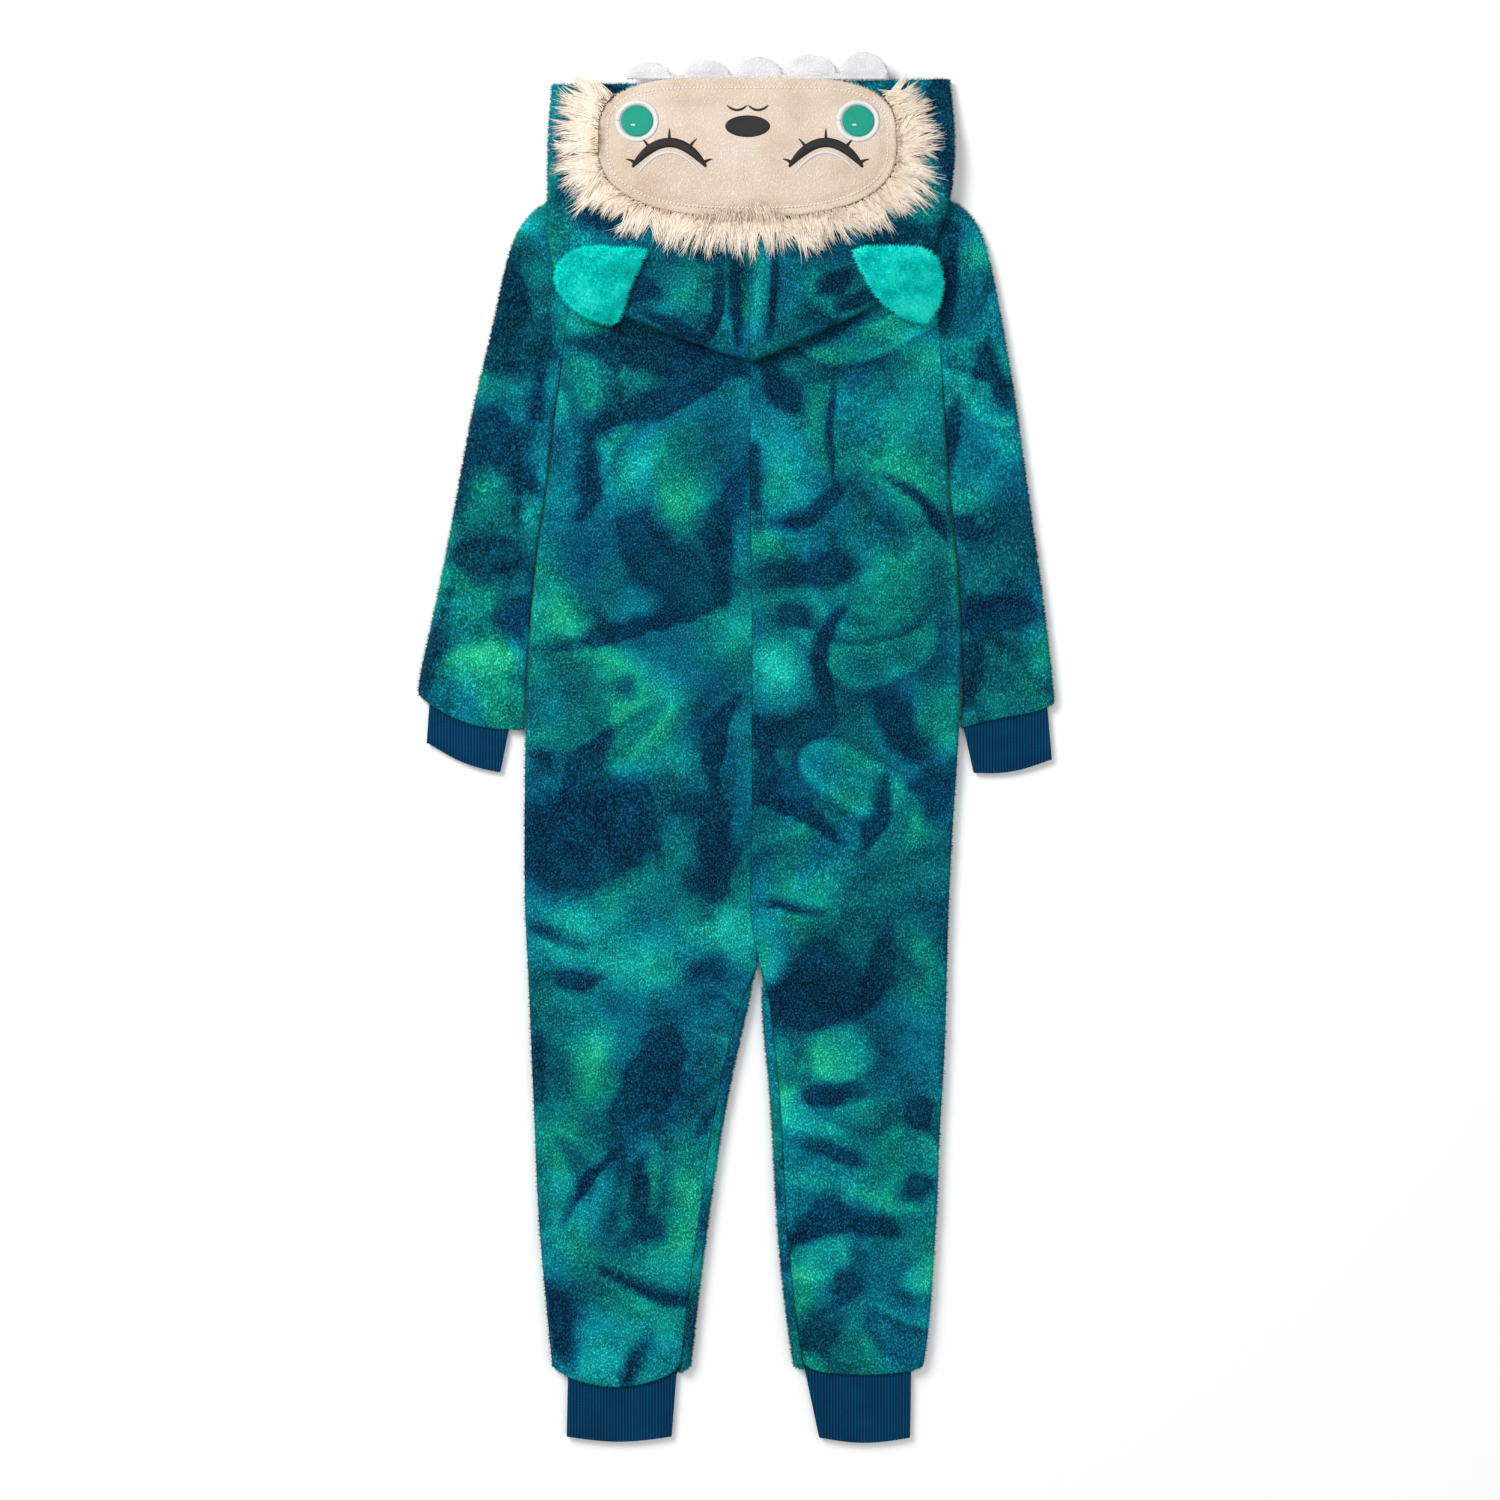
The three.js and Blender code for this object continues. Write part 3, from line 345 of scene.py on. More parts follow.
def marble_group():
    """Marbled dye: clouds of teal and green, flowing bands, deep blue strokes and bright glows, a few
    of them painted shade and painted highlight.
    """
    tree, given, result = shader_group(
        "marbled_dye",
        {"Cloth": "Vector", "Deep": "Float", "Glow": "Float"},
        {"Color": "Color"},
    )
    clouds, flow, mottle, hue, veil, haze = (
        add_node(
            tree,
            "ShaderNodeTexNoise",
            Vector=given.outputs["Cloth"],
            Scale=scale,
            Detail=detail,
            Roughness=0.5,
            Distortion=twist,
        ).outputs[0]
        for scale, detail, twist in (
            (6, 1, 1.4), (6.5, 0, 1.5), (60, 3, 0.4), (8, 1, 1.0), (9, 0, 0.5), (20, 2, 1.2)
        )
    )
    edge = maths(tree, "MULTIPLY", maths(tree, "SUBTRACT", mottle, 0.5), 0.22)
    tone = maths(tree, "MULTIPLY_ADD", spread(tree, clouds, 0.3, 0.7), 0.38, 0.16)
    wavy = maths(tree, "MULTIPLY_ADD", edge, 0.5, maths(tree, "MULTIPLY", flow, 2.7))
    band = maths(tree, "FRACT", wavy)
    falling = maths(tree, "MULTIPLY", maths(tree, "SUBTRACT", 1, band), 5)
    band = maths(tree, "MINIMUM", maths(tree, "MULTIPLY", band, 1.25), falling)
    strength = maths(tree, "MULTIPLY_ADD", spread(tree, veil, 0.38, 0.62), 0.28, 0.12)
    tone = maths(tree, "MULTIPLY_ADD", band, strength, tone)
    tone = maths(tree, "ADD", tone, edge)
    rough_deep = maths(tree, "MULTIPLY_ADD", edge, -0.7, given.outputs["Deep"])
    rough_deep = maths(tree, "MULTIPLY_ADD", maths(tree, "SUBTRACT", haze, 0.5), 0.7, rough_deep)
    tone = maths(tree, "MULTIPLY_ADD", spread(tree, rough_deep, 0.1, 0.74), -0.66, tone)
    tone = maths(tree, "MULTIPLY_ADD", given.outputs["Glow"], 0.4, tone, clamp=True)
    tone = maths(tree, "MAXIMUM", tone, maths(tree, "MULTIPLY", spread(tree, haze, 0.38, 0.66), 0.17))
    blue = ramp(
        tree,
        tone,
        [
            (0.0, srgb(0, 30, 64)),
            (0.16, srgb(1, 56, 90)),
            (0.34, srgb(4, 90, 118)),
            (0.52, srgb(5, 122, 142)),
            (0.7, srgb(8, 150, 160)),
            (1.0, srgb(20, 188, 182)),
        ],
    )
    green = ramp(
        tree,
        tone,
        [
            (0.0, srgb(0, 32, 60)),
            (0.16, srgb(1, 61, 83)),
            (0.34, srgb(4, 94, 104)),
            (0.52, srgb(6, 122, 118)),
            (0.7, srgb(12, 152, 128)),
            (1.0, srgb(40, 196, 148)),
        ],
    )
    greener = maths(
        tree, "MULTIPLY_ADD", given.outputs["Glow"], 0.3, spread(tree, hue, 0.42, 0.62), clamp=True
    )
    tree.links.new(mixed(tree, greener, blue, green), result.inputs["Color"])
    return tree


def finish_of(name, roughness=0.9, **constants):
    """A new material's tree and its Principled shader, with the constants set on it."""
    material = bpy.data.materials.new(name)
    material.use_nodes = True
    shader = material.node_tree.nodes["Principled BSDF"]
    shader.inputs["Roughness"].default_value = roughness
    for socket, value in constants.items():
        shader.inputs[socket.replace("_", " ")].default_value = value
    return material, material.node_tree, shader


def pile_finish(name, colour, fineness, contrast, depth, sheen, tip, tips):
    """A plush finish whose colour is one colour or what colour(tree) gives."""
    material, tree, shader = finish_of(
        name, Sheen_Weight=sheen, Sheen_Roughness=0.4, Specular_IOR_Level=0.04
    )
    place = object_place(tree)
    pile = tree.nodes.new("ShaderNodeGroup")
    pile.node_tree = PILE
    tree.links.new(place, pile.inputs["Place"])
    pile.inputs["Fineness"].default_value = fineness
    pile.inputs["Contrast"].default_value = contrast
    # tip and tips give the colour of the painted glints on the pile's tips and how much of it shows
    pile.inputs["Tip"].default_value, pile.inputs["Tips"].default_value = tip, tips
    if callable(colour):
        tree.links.new(colour(tree), pile.inputs["Color"])
    else:
        pile.inputs["Color"].default_value = colour
    bump = add_node(tree, "ShaderNodeBump", Strength=0.7, Distance=depth)
    tree.links.new(pile.outputs["Height"], bump.inputs["Height"])
    tree.links.new(pile.outputs["Color"], shader.inputs["Base Color"])
    tree.links.new(bump.outputs[0], shader.inputs["Normal"])
    return material


def marbled(tree):
    """The dye's colour at each place, from the piece's own marks."""
    dyed = tree.nodes.new("ShaderNodeGroup")
    dyed.node_tree = MARBLE
    for socket, part in (("Cloth", "Vector"), ("Deep", "Fac"), ("Glow", "Fac")):
        mark = add_node(tree, "ShaderNodeAttribute", {"attribute_name": socket.lower()})
        tree.links.new(mark.outputs[part], dyed.inputs[socket])
    return dyed.outputs["Color"]


TUFT_SIZES = (0.55, 1.25)


def tuft_nodes(name, long, thick, lean, per_area):
    """Geometry nodes that stand tapering tufts on a piece, as thick as its rim mark asks."""
    tree = bpy.data.node_groups.new(name, "GeometryNodeTree")
    for way in ("INPUT", "OUTPUT"):
        tree.interface.new_socket("Geometry", in_out=way, socket_type="NodeSocketGeometry")
    given, result = tree.nodes.new("NodeGroupInput"), tree.nodes.new("NodeGroupOutput")
    rim = add_node(tree, "GeometryNodeInputNamedAttribute", {"data_type": "FLOAT"}, Name="rim")
    roots = add_node(
        tree,
        "GeometryNodeDistributePointsOnFaces",
        Mesh=given.outputs[0],
        Density=maths(tree, "MULTIPLY", rim.outputs["Attribute"], per_area),
    )
    tuft = add_node(
        tree,
        "GeometryNodeMeshCone",
        {"fill_type": "NONE"},
        Vertices=3,
        Radius_Top=0,
        Radius_Bottom=thick,
        Depth=long,
    )
    leaning = add_node(tree, "FunctionNodeRandomValue", {"data_type": "FLOAT_VECTOR"})
    leaning.inputs["Min"].default_value = (-lean, -lean, 0)
    leaning.inputs["Max"].default_value = (lean, lean, math.tau)
    turned = add_node(
        tree,
        "FunctionNodeRotateRotation",
        {"rotation_space": "LOCAL"},
        Rotation=roots.outputs["Rotation"],
        Rotate_By=leaning.outputs["Value"],
    )
    sizes = tree.nodes.new("FunctionNodeRandomValue")
    sizes.inputs[2].default_value, sizes.inputs[3].default_value = TUFT_SIZES
    standing = add_node(
        tree,
        "GeometryNodeInstanceOnPoints",
        Points=roots.outputs["Points"],
        Instance=tuft.outputs["Mesh"],
        Rotation=turned.outputs[0],
        Scale=sizes.outputs[1],
    )
    real = add_node(tree, "GeometryNodeRealizeInstances", Geometry=standing.outputs[0])
    tree.links.new(real.outputs[0], result.inputs[0])
    return tree


def grow_tufts(piece, nodes, material, rim):
    """A piece of standing pile on another piece, thick where rim is 1 and bare where it is 0."""
    grown = piece.copy()
    grown.data = piece.data.copy()
    bpy.context.scene.collection.objects.link(grown)
    mark = grown.data.attributes.new("rim", "FLOAT", "POINT")
    mark.data.foreach_set("value", rim.astype(np.float32))
    grown.modifiers.new("tufts", "NODES").node_group = nodes
    seen = bpy.context.evaluated_depsgraph_get()
    tufts = shown(piece.name + "_pile", bpy.data.meshes.new_from_object(grown.evaluated_get(seen)))
    bpy.data.objects.remove(grown)
    tufts.data.materials.append(material)
    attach(tufts, "garment")
    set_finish(tufts, piece["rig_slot"])
    return tufts


RIM_STARTS, RIM_SOFT, RIM_ENDS = 0.86, 0.3, -0.35
ABOVE_FLOOR = 1.2


def rounded_rim(mesh):
    """How much each vertex belongs to a rounded edge that shows, from 0 to 1."""
    lean = np.array([v.normal.z for v in mesh.vertices])
    height = places_of(mesh)[:, 2]
    return np.clip((RIM_STARTS - lean) / RIM_SOFT, 0, 1) * (lean > RIM_ENDS) * (height > ABOVE_FLOOR)


PILE, MARBLE = pile_group(), marble_group()
# colour of the painted glints on the dyed pile's tips
DYED_GLINT = srgb(40, 176, 184)
dyed_plush = pile_finish("dyed_plush", marbled, 740, 1.35, 1.4 * MM, 0.05, DYED_GLINT, 0.17)
SHORT_TUFTS = tuft_nodes("short_tufts", 2.3 * MM, 0.34 * MM, 0.6, 9e5)


def tuft_finish(name, colour):
    """Loose pile tips, in the cloth's own colour."""
    material, tree, shader = finish_of(name, 0.9, Specular_IOR_Level=0.04)
    if callable(colour):
        tree.links.new(colour(tree), shader.inputs["Base Color"])
    else:
        shader.inputs["Base Color"].default_value = colour
    return material


dyed_tufts = tuft_finish("dyed_tufts", marbled)


def plush_panel(node, rounds, shift, strokes, glows, creases):
    """One dyed plush piece, creased, dyed with any painted shade and highlight its strokes and glows
    hold, and standing for its cut piece.
    """
    piece = soft_copy(node, node + "_cloth", rounds)
    press(piece, creases)
    dye(piece, shift, strokes, glows)
    piece.data.materials.append(dyed_plush)
    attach(piece, "garment")
    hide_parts(node)
    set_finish(piece, "plush")
    grow_tufts(piece, SHORT_TUFTS, dyed_tufts, rounded_rim(piece.data))
    return piece


for side, shift in (("left", (3, 1, 0)), ("right", (5, 2, 0))):
    panel = plush_panel("front_" + side, 2, shift, FRONT_STROKES, FRONT_GLOWS, FRONT_CREASES)

# Front zip, hidden underneath: two woven tapes, a row of moulded teeth on each, the slider on its
# way and the pull tab that hangs from the slider. The tapes are sewn behind the front panels.
TOOTH = (1.7 * MM, 1.3 * MM, 1.5 * MM)
TOOTH_PITCH = 2.6 * MM
TEETH_CLEAR = 8 * MM


def woven_tape():
    """Woven tape: a fine herringbone in the Object frame, with painted shade in its lower rows."""
    material, tree, shader = finish_of("zip_tape_weave", 0.8)
    place = object_place(tree)
    rows = add_node(tree, "ShaderNodeTexWave", {"bands_direction": "DIAGONAL"}, Vector=place, Scale=420)
    # painted shade: the weave darkens where its rows are low
    tone = ramp(tree, rows.outputs["Fac"], [(0.2, srgb(2, 34, 60)), (0.8, srgb(8, 60, 96))])
    bump = add_node(tree, "ShaderNodeBump", Strength=0.5, Distance=0.2 * MM, Height=rows.outputs["Fac"])
    tree.links.new(tone, shader.inputs["Base Color"])
    tree.links.new(bump.outputs[0], shader.inputs["Normal"])
    return material


def worn_metal(name, colour):
    """Brushed zip metal, a little duller in patches."""
    material, tree, shader = finish_of(name, 0.32, Metallic=1.0)
    place = object_place(tree)
    brushed = add_node(tree, "ShaderNodeMapping", Vector=place)
    brushed.inputs["Scale"].default_value = (9, 1, 1)
    scratches = noise_at(tree, brushed.outputs[0], 260, 3)
    dull = spread(tree, scratches, 0.3, 0.7)
    tree.links.new(maths(tree, "MULTIPLY_ADD", dull, 0.2, 0.24), shader.inputs["Roughness"])
    darker = tuple(part * 0.7 for part in colour[:3]) + (1,)
    tree.links.new(mixed(tree, dull, darker, colour), shader.inputs["Base Color"])
    return material


tape_weave = woven_tape()
zip_metal = worn_metal("zip_metal", srgb(150, 156, 162))
for side, sign in (("left", -1), ("right", 1)):
    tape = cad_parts["zip_tape_" + side]
    tape.data.materials.clear()
    tape.data.materials.append(tape_weave)
    low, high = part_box("zip_tape_" + side)
    inner = high.x if sign < 0 else low.x
    tooth = bmesh.new()
    bmesh.ops.create_cube(tooth, size=1)
    bmesh.ops.scale(tooth, vec=TOOTH, verts=tooth.verts)
    bmesh.ops.bevel(
        tooth,
        geom=tooth.edges[:],
        offset=0.3 * MM,
        segments=1,
        profile=0.5,
        affect="EDGES",
        material=-1,
    )
    start = low.y + TEETH_CLEAR + (sign > 0) * TOOTH_PITCH / 2
    at = Vector((inner + sign * 0.2 * MM, start, low.z - 0.4 * MM))
    bmesh.ops.translate(tooth, vec=at, verts=tooth.verts)
    teeth = shown("zip_teeth_" + side, bpy.data.meshes.new("zip_teeth_" + side))
    tooth.to_mesh(teeth.data)
    tooth.free()
    row = teeth.modifiers.new("row", "ARRAY")
    row.use_relative_offset, row.use_constant_offset = False, True
    row.constant_offset_displace = (0, TOOTH_PITCH, 0)
    row.count = int((high.y - start - TEETH_CLEAR) / TOOTH_PITCH)
    teeth.data.materials.append(zip_metal)
    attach(teeth, "garment")
    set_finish(teeth, "zip_metal")
for node in ("zip_slider", "zip_pull"):
    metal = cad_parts[node]
    metal.data.materials.clear()
    metal.data.materials.append(zip_metal)

# Back panels, left and right, sewn together on the centre-back seam, to the fronts at the sides
# and along the inner legs. They carry the largest dark strokes and green glows of the cloth, and
# the first stroke of each side is a painted shadow under the hood's lower edge.
BACK_DYE_AND_SHADOW_STROKES = {
    "left": [
        # painted shadow under the hood's lower edge
        (-46, 359, 76, 11, -18, 0, 0.9, 1.0),
        (-95, 352, 66, 12, -14, -9, 0.8, 0.85),
        (-66, 304, 74, 17, 24, 12, 0.5, 0.75),
        (-126, 238, 42, 12, 76, 8, 0.6, 0.7),
        (-60, 168, 52, 34, -28, 8, 0.8, 0.9),
        (-12, 190, 62, 13, 84, -10, 0.6, 0.75),
        (-86, 102, 92, 11, 15, 12, 0.28, 0.95),
        (-92, 50, 15, 13, 60, 0, 1, 0.58),
        (-128, -6, 32, 17, 50, 6, 0.6, 0.8),
        (-24, 2, 44, 12, 78, -12, 0.5, 0.85),
        (-170, -4, 18, 14, 20, 0, 1, 0.5),
        (-134, -78, 62, 44, 10, 0, 0.9, 0.9),
        (-14, -98, 50, 22, 84, 8, 0.5, 0.85),
        (-60, -50, 40, 20, -20, 0, 0.8, 0.5),
        (-160, -172, 30, 10, -12, 4, 0.6, 0.7),
        (-30, -196, 26, 21, 60, 0, 0.8, 0.43),
        (-138, -212, 28, 12, 8, 4, 0.6, 0.75),
        (-74, -300, 44, 22, 58, 8, 0.7, 0.85),
        (-178, -290, 40, 14, 88, 0, 0.6, 0.6),
        (-130, -392, 44, 9, 48, -8, 0.35, 0.85),
        (-86, -402, 34, 12, 80, -5, 0.5, 0.85),
        (-78, -436, 12, 10, 0, 0, 1, 0.58),
        (-26, -330, 22, 9, 70, 0, 0.6, 0.5),
        (-80, -492, 56, 12, -12, 10, 0.3, 0.9),
        (-158, -520, 44, 14, -72, 0, 0.5, 0.8),
        (-88, -552, 30, 12, 70, 0, 0.7, 0.75),
    ],
    "right": [
        # painted shadow under the hood's lower edge
        (66, 367, 64, 8, 27, 0, 0.9, 0.7),
        (100, 346, 60, 26, 12, 0, 1, 0.45),
        (38, 318, 30, 13, -62, 4, 0.7, 0.9),
        (86, 278, 52, 5, 92, 0, 0.4, 0.7),
        (58, 204, 46, 9, 22, 10, 0.35, 0.9),
        (158, 220, 46, 8, -38, -6, 0.35, 0.95),
        (74, 160, 50, 17, 4, 5, 0.7, 0.85),
        (18, 236, 40, 10, 86, 0, 0.8, 0.6),
        (86, 84, 50, 12, 82, -12, 0.4, 0.9),
        (44, 12, 48, 16, 12, 8, 0.5, 0.9),
        (56, 118, 26, 12, -30, 4, 0.5, 0.58),
        (146, 12, 46, 20, -48, 8, 0.5, 0.9),
        (182, -42, 34, 16, 60, 0, 0.7, 0.8),
        (130, -62, 44, 11, 66, 6, 0.5, 0.75),
        (54, -62, 50, 11, -24, -10, 0.35, 0.9),
        (30, -18, 30, 12, 80, 0, 0.7, 0.7),
        (48, -152, 32, 8, -8, 4, 0.35, 0.85),
        (66, -228, 54, 34, 8, -5, 0.8, 0.95),
        (128, -206, 44, 14, 70, 8, 0.6, 0.7),
        (88, -322, 34, 9, 6, 3, 0.5, 0.85),
        (166, -332, 24, 15, 46, 0, 0.6, 0.58),
        (82, -368, 30, 11, -18, 4, 0.5, 0.85),
        (160, -396, 24, 18, 30, 0, 0.8, 0.54),
        (86, -434, 58, 15, 4, -7, 0.35, 0.95),
        (100, -492, 40, 18, 74, 0, 0.8, 0.45),
        (70, -530, 26, 20, 20, 0, 0.8, 0.5),
    ],
}
BACK_GLOWS = {
    "left": [
        (-42, 218, 40, 30, 60, 0, 1, 0.85),
        (-100, 242, 24, 14, 30, 0, 1, 0.6),
        (-140, 292, 20, 40, 0, 0, 1, 0.3),
        (-150, 126, 26, 26, 0, 0, 1, 0.45),
        (-78, 76, 40, 16, 10, 0, 1, 0.4),
        (-52, -4, 24, 16, 20, 0, 1, 0.55),
        (-106, -190, 34, 40, 80, 0, 1, 1.0),
        (-10, -168, 26, 44, 80, 0, 1, 0.9),
        (-150, -150, 30, 18, -20, 0, 1, 0.5),
        (-132, -290, 52, 15, 66, -8, 1, 0.8),
        (-48, -396, 16, 12, 0, 0, 1, 0.6),
        (-134, -456, 44, 16, -30, 0, 1, 0.5),
        (-56, -440, 36, 18, 30, 0, 1, 0.35),
    ],
    "right": [
        (40, 68, 30, 28, 80, 0, 1, 1.1),
        (38, 138, 34, 9, 10, 6, 1, 0.6),
        (40, 240, 24, 26, 60, 0, 1, 0.5),
        (70, 320, 40, 12, 84, 0, 1, 0.35),
        (134, 238, 40, 16, -40, 0, 1, 0.45),
        (150, 300, 22, 22, 0, 0, 1, 0.3),
        (166, -62, 30, 9, 64, 0, 1, 0.85),
        (28, -196, 16, 14, 10, 0, 1, 0.7),
        (42, -80, 26, 20, 0, 0, 1, 0.4),
        (166, -216, 18, 16, 0, 0, 1, 0.8),
        (84, -284, 44, 20, -10, 0, 1, 0.45),
        (38, -330, 26, 12, 70, 0, 1, 0.55),
        (108, -404, 66, 10, -12, 5, 1, 0.75),
        (172, -480, 14, 20, 0, 0, 1, 0.6),
        (60, -486, 22, 26, 80, 0, 1, 0.45),
    ],
}
BACK_CREASES = [
    (-138, 292, 60, 7, -74, 6, -1.0),
    (-152, 330, 46, 6, -80, 4, 0.9),
    (158, 250, 60, 7, 76, -6, -0.9),
    (150, 330, 44, 6, 82, 4, 0.8),
    (-60, 60, 80, 14, 24, 10, 0.5),
    (100, 110, 70, 12, -30, -8, 0.5),
    (-20, -150, 34, 5, 52, 4, 0.9),
    (-38, -176, 30, 5, 30, 4, -0.7),
    (48, -160, 34, 5, -56, -4, 0.9),
    (60, -186, 28, 5, -34, 4, -0.7),
    (-120, -280, 60, 9, 66, 6, 0.6),
    (110, -350, 60, 9, -58, -6, 0.6),
    (-110, -470, 40, 7, 30, 5, -0.6),
    (110, -500, 36, 7, -28, 4, -0.6),
]
for side, shift in (("left", (0, 0, 0)), ("right", (0.63, 1.4, 0))):
    panel = plush_panel(
        "back_" + side, 3, shift, BACK_DYE_AND_SHADOW_STROKES[side], BACK_GLOWS[side], BACK_CREASES
    )

# Sleeves, left and right: one plush piece each, folded round and closed by the underarm seam,
# sewn into the armhole and lying straight down beside the body.
SLEEVE_STROKES = {
    "left": [
        (-225, 220, 210, 44, 77, 0, 1, 0.3),
        (-204, 408, 48, 30, 74, 0, 0.8, 0.9),
        (-232, 262, 60, 22, 68, 0, 0.8, 0.5),
        (-268, 78, 34, 14, 74, 0, 0.8, 0.55),
        (-212, 346, 26, 15, -20, 4, 0.6, 0.61),
        (-178, 336, 50, 9, 84, 0, 0.6, 0.6),
        (-188, 236, 12, 12, 40, 0, 1, 0.58),
        (-216, 160, 46, 24, -8, 0, 0.5, 0.9),
        (-196, 112, 34, 18, 20, 0, 0.8, 0.75),
        (-264, 120, 30, 10, 76, 0, 0.6, 0.5),
        (-186, 60, 14, 12, 20, 0, 1, 0.5),
    ],
    "right": [
        (193, 418, 44, 11, 84, 0, 0.6, 0.8),
        (244, 312, 46, 10, -66, 5, 0.8, 0.75),
        (270, 250, 50, 12, -80, 0, 0.7, 0.8),
        (196, 272, 38, 11, 82, 5, 0.6, 0.85),
        (210, 194, 12, 14, 60, 0, 1, 0.58),
        (234, 124, 46, 13, 3, -3, 0.8, 0.9),
        (210, 66, 44, 15, 82, 0, 0.7, 0.85),
        (222, 340, 30, 9, 70, 0, 0.7, 0.45),
    ],
}
SLEEVE_GLOWS = {
    "left": [
        (-202, 304, 28, 18, 60, 0, 1, 0.7),
        (-196, 462, 22, 18, 30, 0, 1, 0.6),
        (-238, 216, 34, 16, 60, 0, 1, 0.45),
        (-222, 78, 44, 15, 6, 0, 1, 0.8),
        (-250, 50, 26, 12, 20, 0, 1, 0.5),
    ],
    "right": [
        (214, 448, 26, 14, -40, 0, 1, 0.55),
        (246, 280, 26, 12, 70, 0, 1, 0.55),
        (222, 224, 30, 14, 50, 0, 1, 0.4),
        (236, 160, 30, 12, 30, 0, 1, 0.35),
        (268, 76, 26, 12, 60, 0, 1, 0.7),
        (240, 44, 24, 8, 0, 0, 1, 0.5),
    ],
}
SLEEVE_CREASES = [
    (-176, 430, 50, 8, -66, 4, -0.9),
    (-196, 300, 60, 8, 72, 6, 0.8),
    (-230, 210, 44, 7, 40, 4, -0.7),
    (-240, 90, 40, 8, -30, 4, 0.7),
    (-232, 46, 18, 5, 78, 2, -0.9),
    (-256, 48, 16, 5, 84, 2, -0.8),
    (206, 420, 54, 8, 70, 4, -1.0),
    (222, 330, 60, 8, -76, 5, 0.9),
    (246, 210, 44, 8, -44, 4, -0.7),
    (240, 110, 40, 8, 30, 4, 0.7),
    (232, 44, 16, 5, 86, 2, -0.9),
    (260, 46, 16, 5, 82, 2, -0.8),
]
for side, shift in (("left", (1.7, 0.4, 0)), ("right", (2.4, 3.1, 0))):
    tube = plush_panel(
        "sleeve_" + side, 2, shift, SLEEVE_STROKES[side], SLEEVE_GLOWS[side], SLEEVE_CREASES
    )

# Cuffs at the wrists and ankles: rib-knit tubes, folded double at the open end and sewn into
# the hems, drawn in a little narrower than the plush above.
CUFF_TUCK = 1.06
CUFF_FLATS = {
    "wrist_cuff_left": (0.145, 0.033),
    "wrist_cuff_right": (0.150, 0.043),
    "ankle_cuff_left": (0.190, 0.048),
    "ankle_cuff_right": (0.177, 0.057),
}


def rib_finish():
    """Rib knit: navy wales of small stitches, lighter on their crests and with painted shade in the
    valleys.
    """
    material, tree, shader = finish_of(
        "navy_rib", 0.9, Sheen_Weight=0.03, Sheen_Roughness=0.5, Specular_IOR_Level=0.06
    )
    place = object_place(tree)
    wales = add_node(tree, "ShaderNodeTexWave", {"bands_direction": "X"}, Vector=place, Scale=116)
    courses = add_node(tree, "ShaderNodeTexWave", {"bands_direction": "Y"}, Vector=place, Scale=240)
    fuzz = noise_at(tree, place, 600, 3)
    patches = noise_at(tree, place, 30, 3)
    height = maths(tree, "MULTIPLY_ADD", courses.outputs["Fac"], 0.35, wales.outputs["Fac"])
    height = maths(tree, "MULTIPLY_ADD", fuzz, 0.5, height)
    # painted shade: the colour darkens where the knit is low and lightens on its crests
    tone = maths(tree, "MULTIPLY_ADD", patches, 0.4, maths(tree, "MULTIPLY", height, 0.5))
    colour = ramp(tree, tone, [(0.2, srgb(0, 34, 64)), (0.6, srgb(0, 50, 84)), (1, srgb(6, 76, 112))])
    bump = add_node(tree, "ShaderNodeBump", Strength=0.8, Distance=0.8 * MM, Height=height)
    tree.links.new(colour, shader.inputs["Base Color"])
    tree.links.new(bump.outputs[0], shader.inputs["Normal"])
    return material


navy_rib = rib_finish()
for node, flat in CUFF_FLATS.items():
    cuff = soft_copy(node, node + "_knit", 2)
    places = places_of(cuff.data)
    open_end = places[:, 1].min()
    places[:, 1] = open_end + (places[:, 1] - open_end) * CUFF_TUCK
    put_back(cuff.data, places)
    cuff.data.materials.append(navy_rib)
    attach(cuff, "garment")
    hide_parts(node)
    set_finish(cuff, "rib")

# Hood, left and right halves: plush, joined on the centre seam and sewn into the neckline. It is
# folded down, so its outside lies up on the back, pinched into a ridge at the centre seam. The
# first stroke of each half is painted shade in a trough beside that ridge, and the first glow of
# the right half is a painted highlight along the ridge.
HOOD_SEAM_X, HOOD_SEAM_WIDE, HOOD_SEAM_PULL = 12.15, 1.2, 0.5
HOOD_DYE_AND_SHADE_STROKES = {
    "left": [
        # painted shade along the trough at the centre seam
        (3, 398, 46, 6, 90, 0, 1, 0.8),
        (-16, 388, 32, 8, 66, 8, 0.5, 0.9),
        (-92, 410, 24, 12, -10, 0, 0.7, 0.7),
        (-20, 448, 20, 14, 30, 0, 1, 0.7),
        (-60, 376, 40, 8, -24, 0, 0.6, 0.55),
        (-112, 590, 18, 10, 0, 0, 1, 0.9),
        (-158, 520, 50, 12, 84, 0, 0.6, 0.5),
        (-120, 470, 40, 18, -30, 0, 0.8, 0.45),
    ],
    "right": [
        # painted shade along the trough right of the ridge
        (36, 408, 38, 6, 86, 0, 0.5, 0.85),
        (90, 414, 22, 10, 40, 0, 0.8, 0.8),
        (112, 400, 24, 9, 24, 0, 0.6, 0.8),
        (186, 560, 60, 13, 88, 0, 0.8, 0.95),
        (136, 458, 26, 13, 10, 0, 0.7, 0.65),
        (172, 450, 30, 9, 70, 0, 0.6, 0.6),
    ],
}
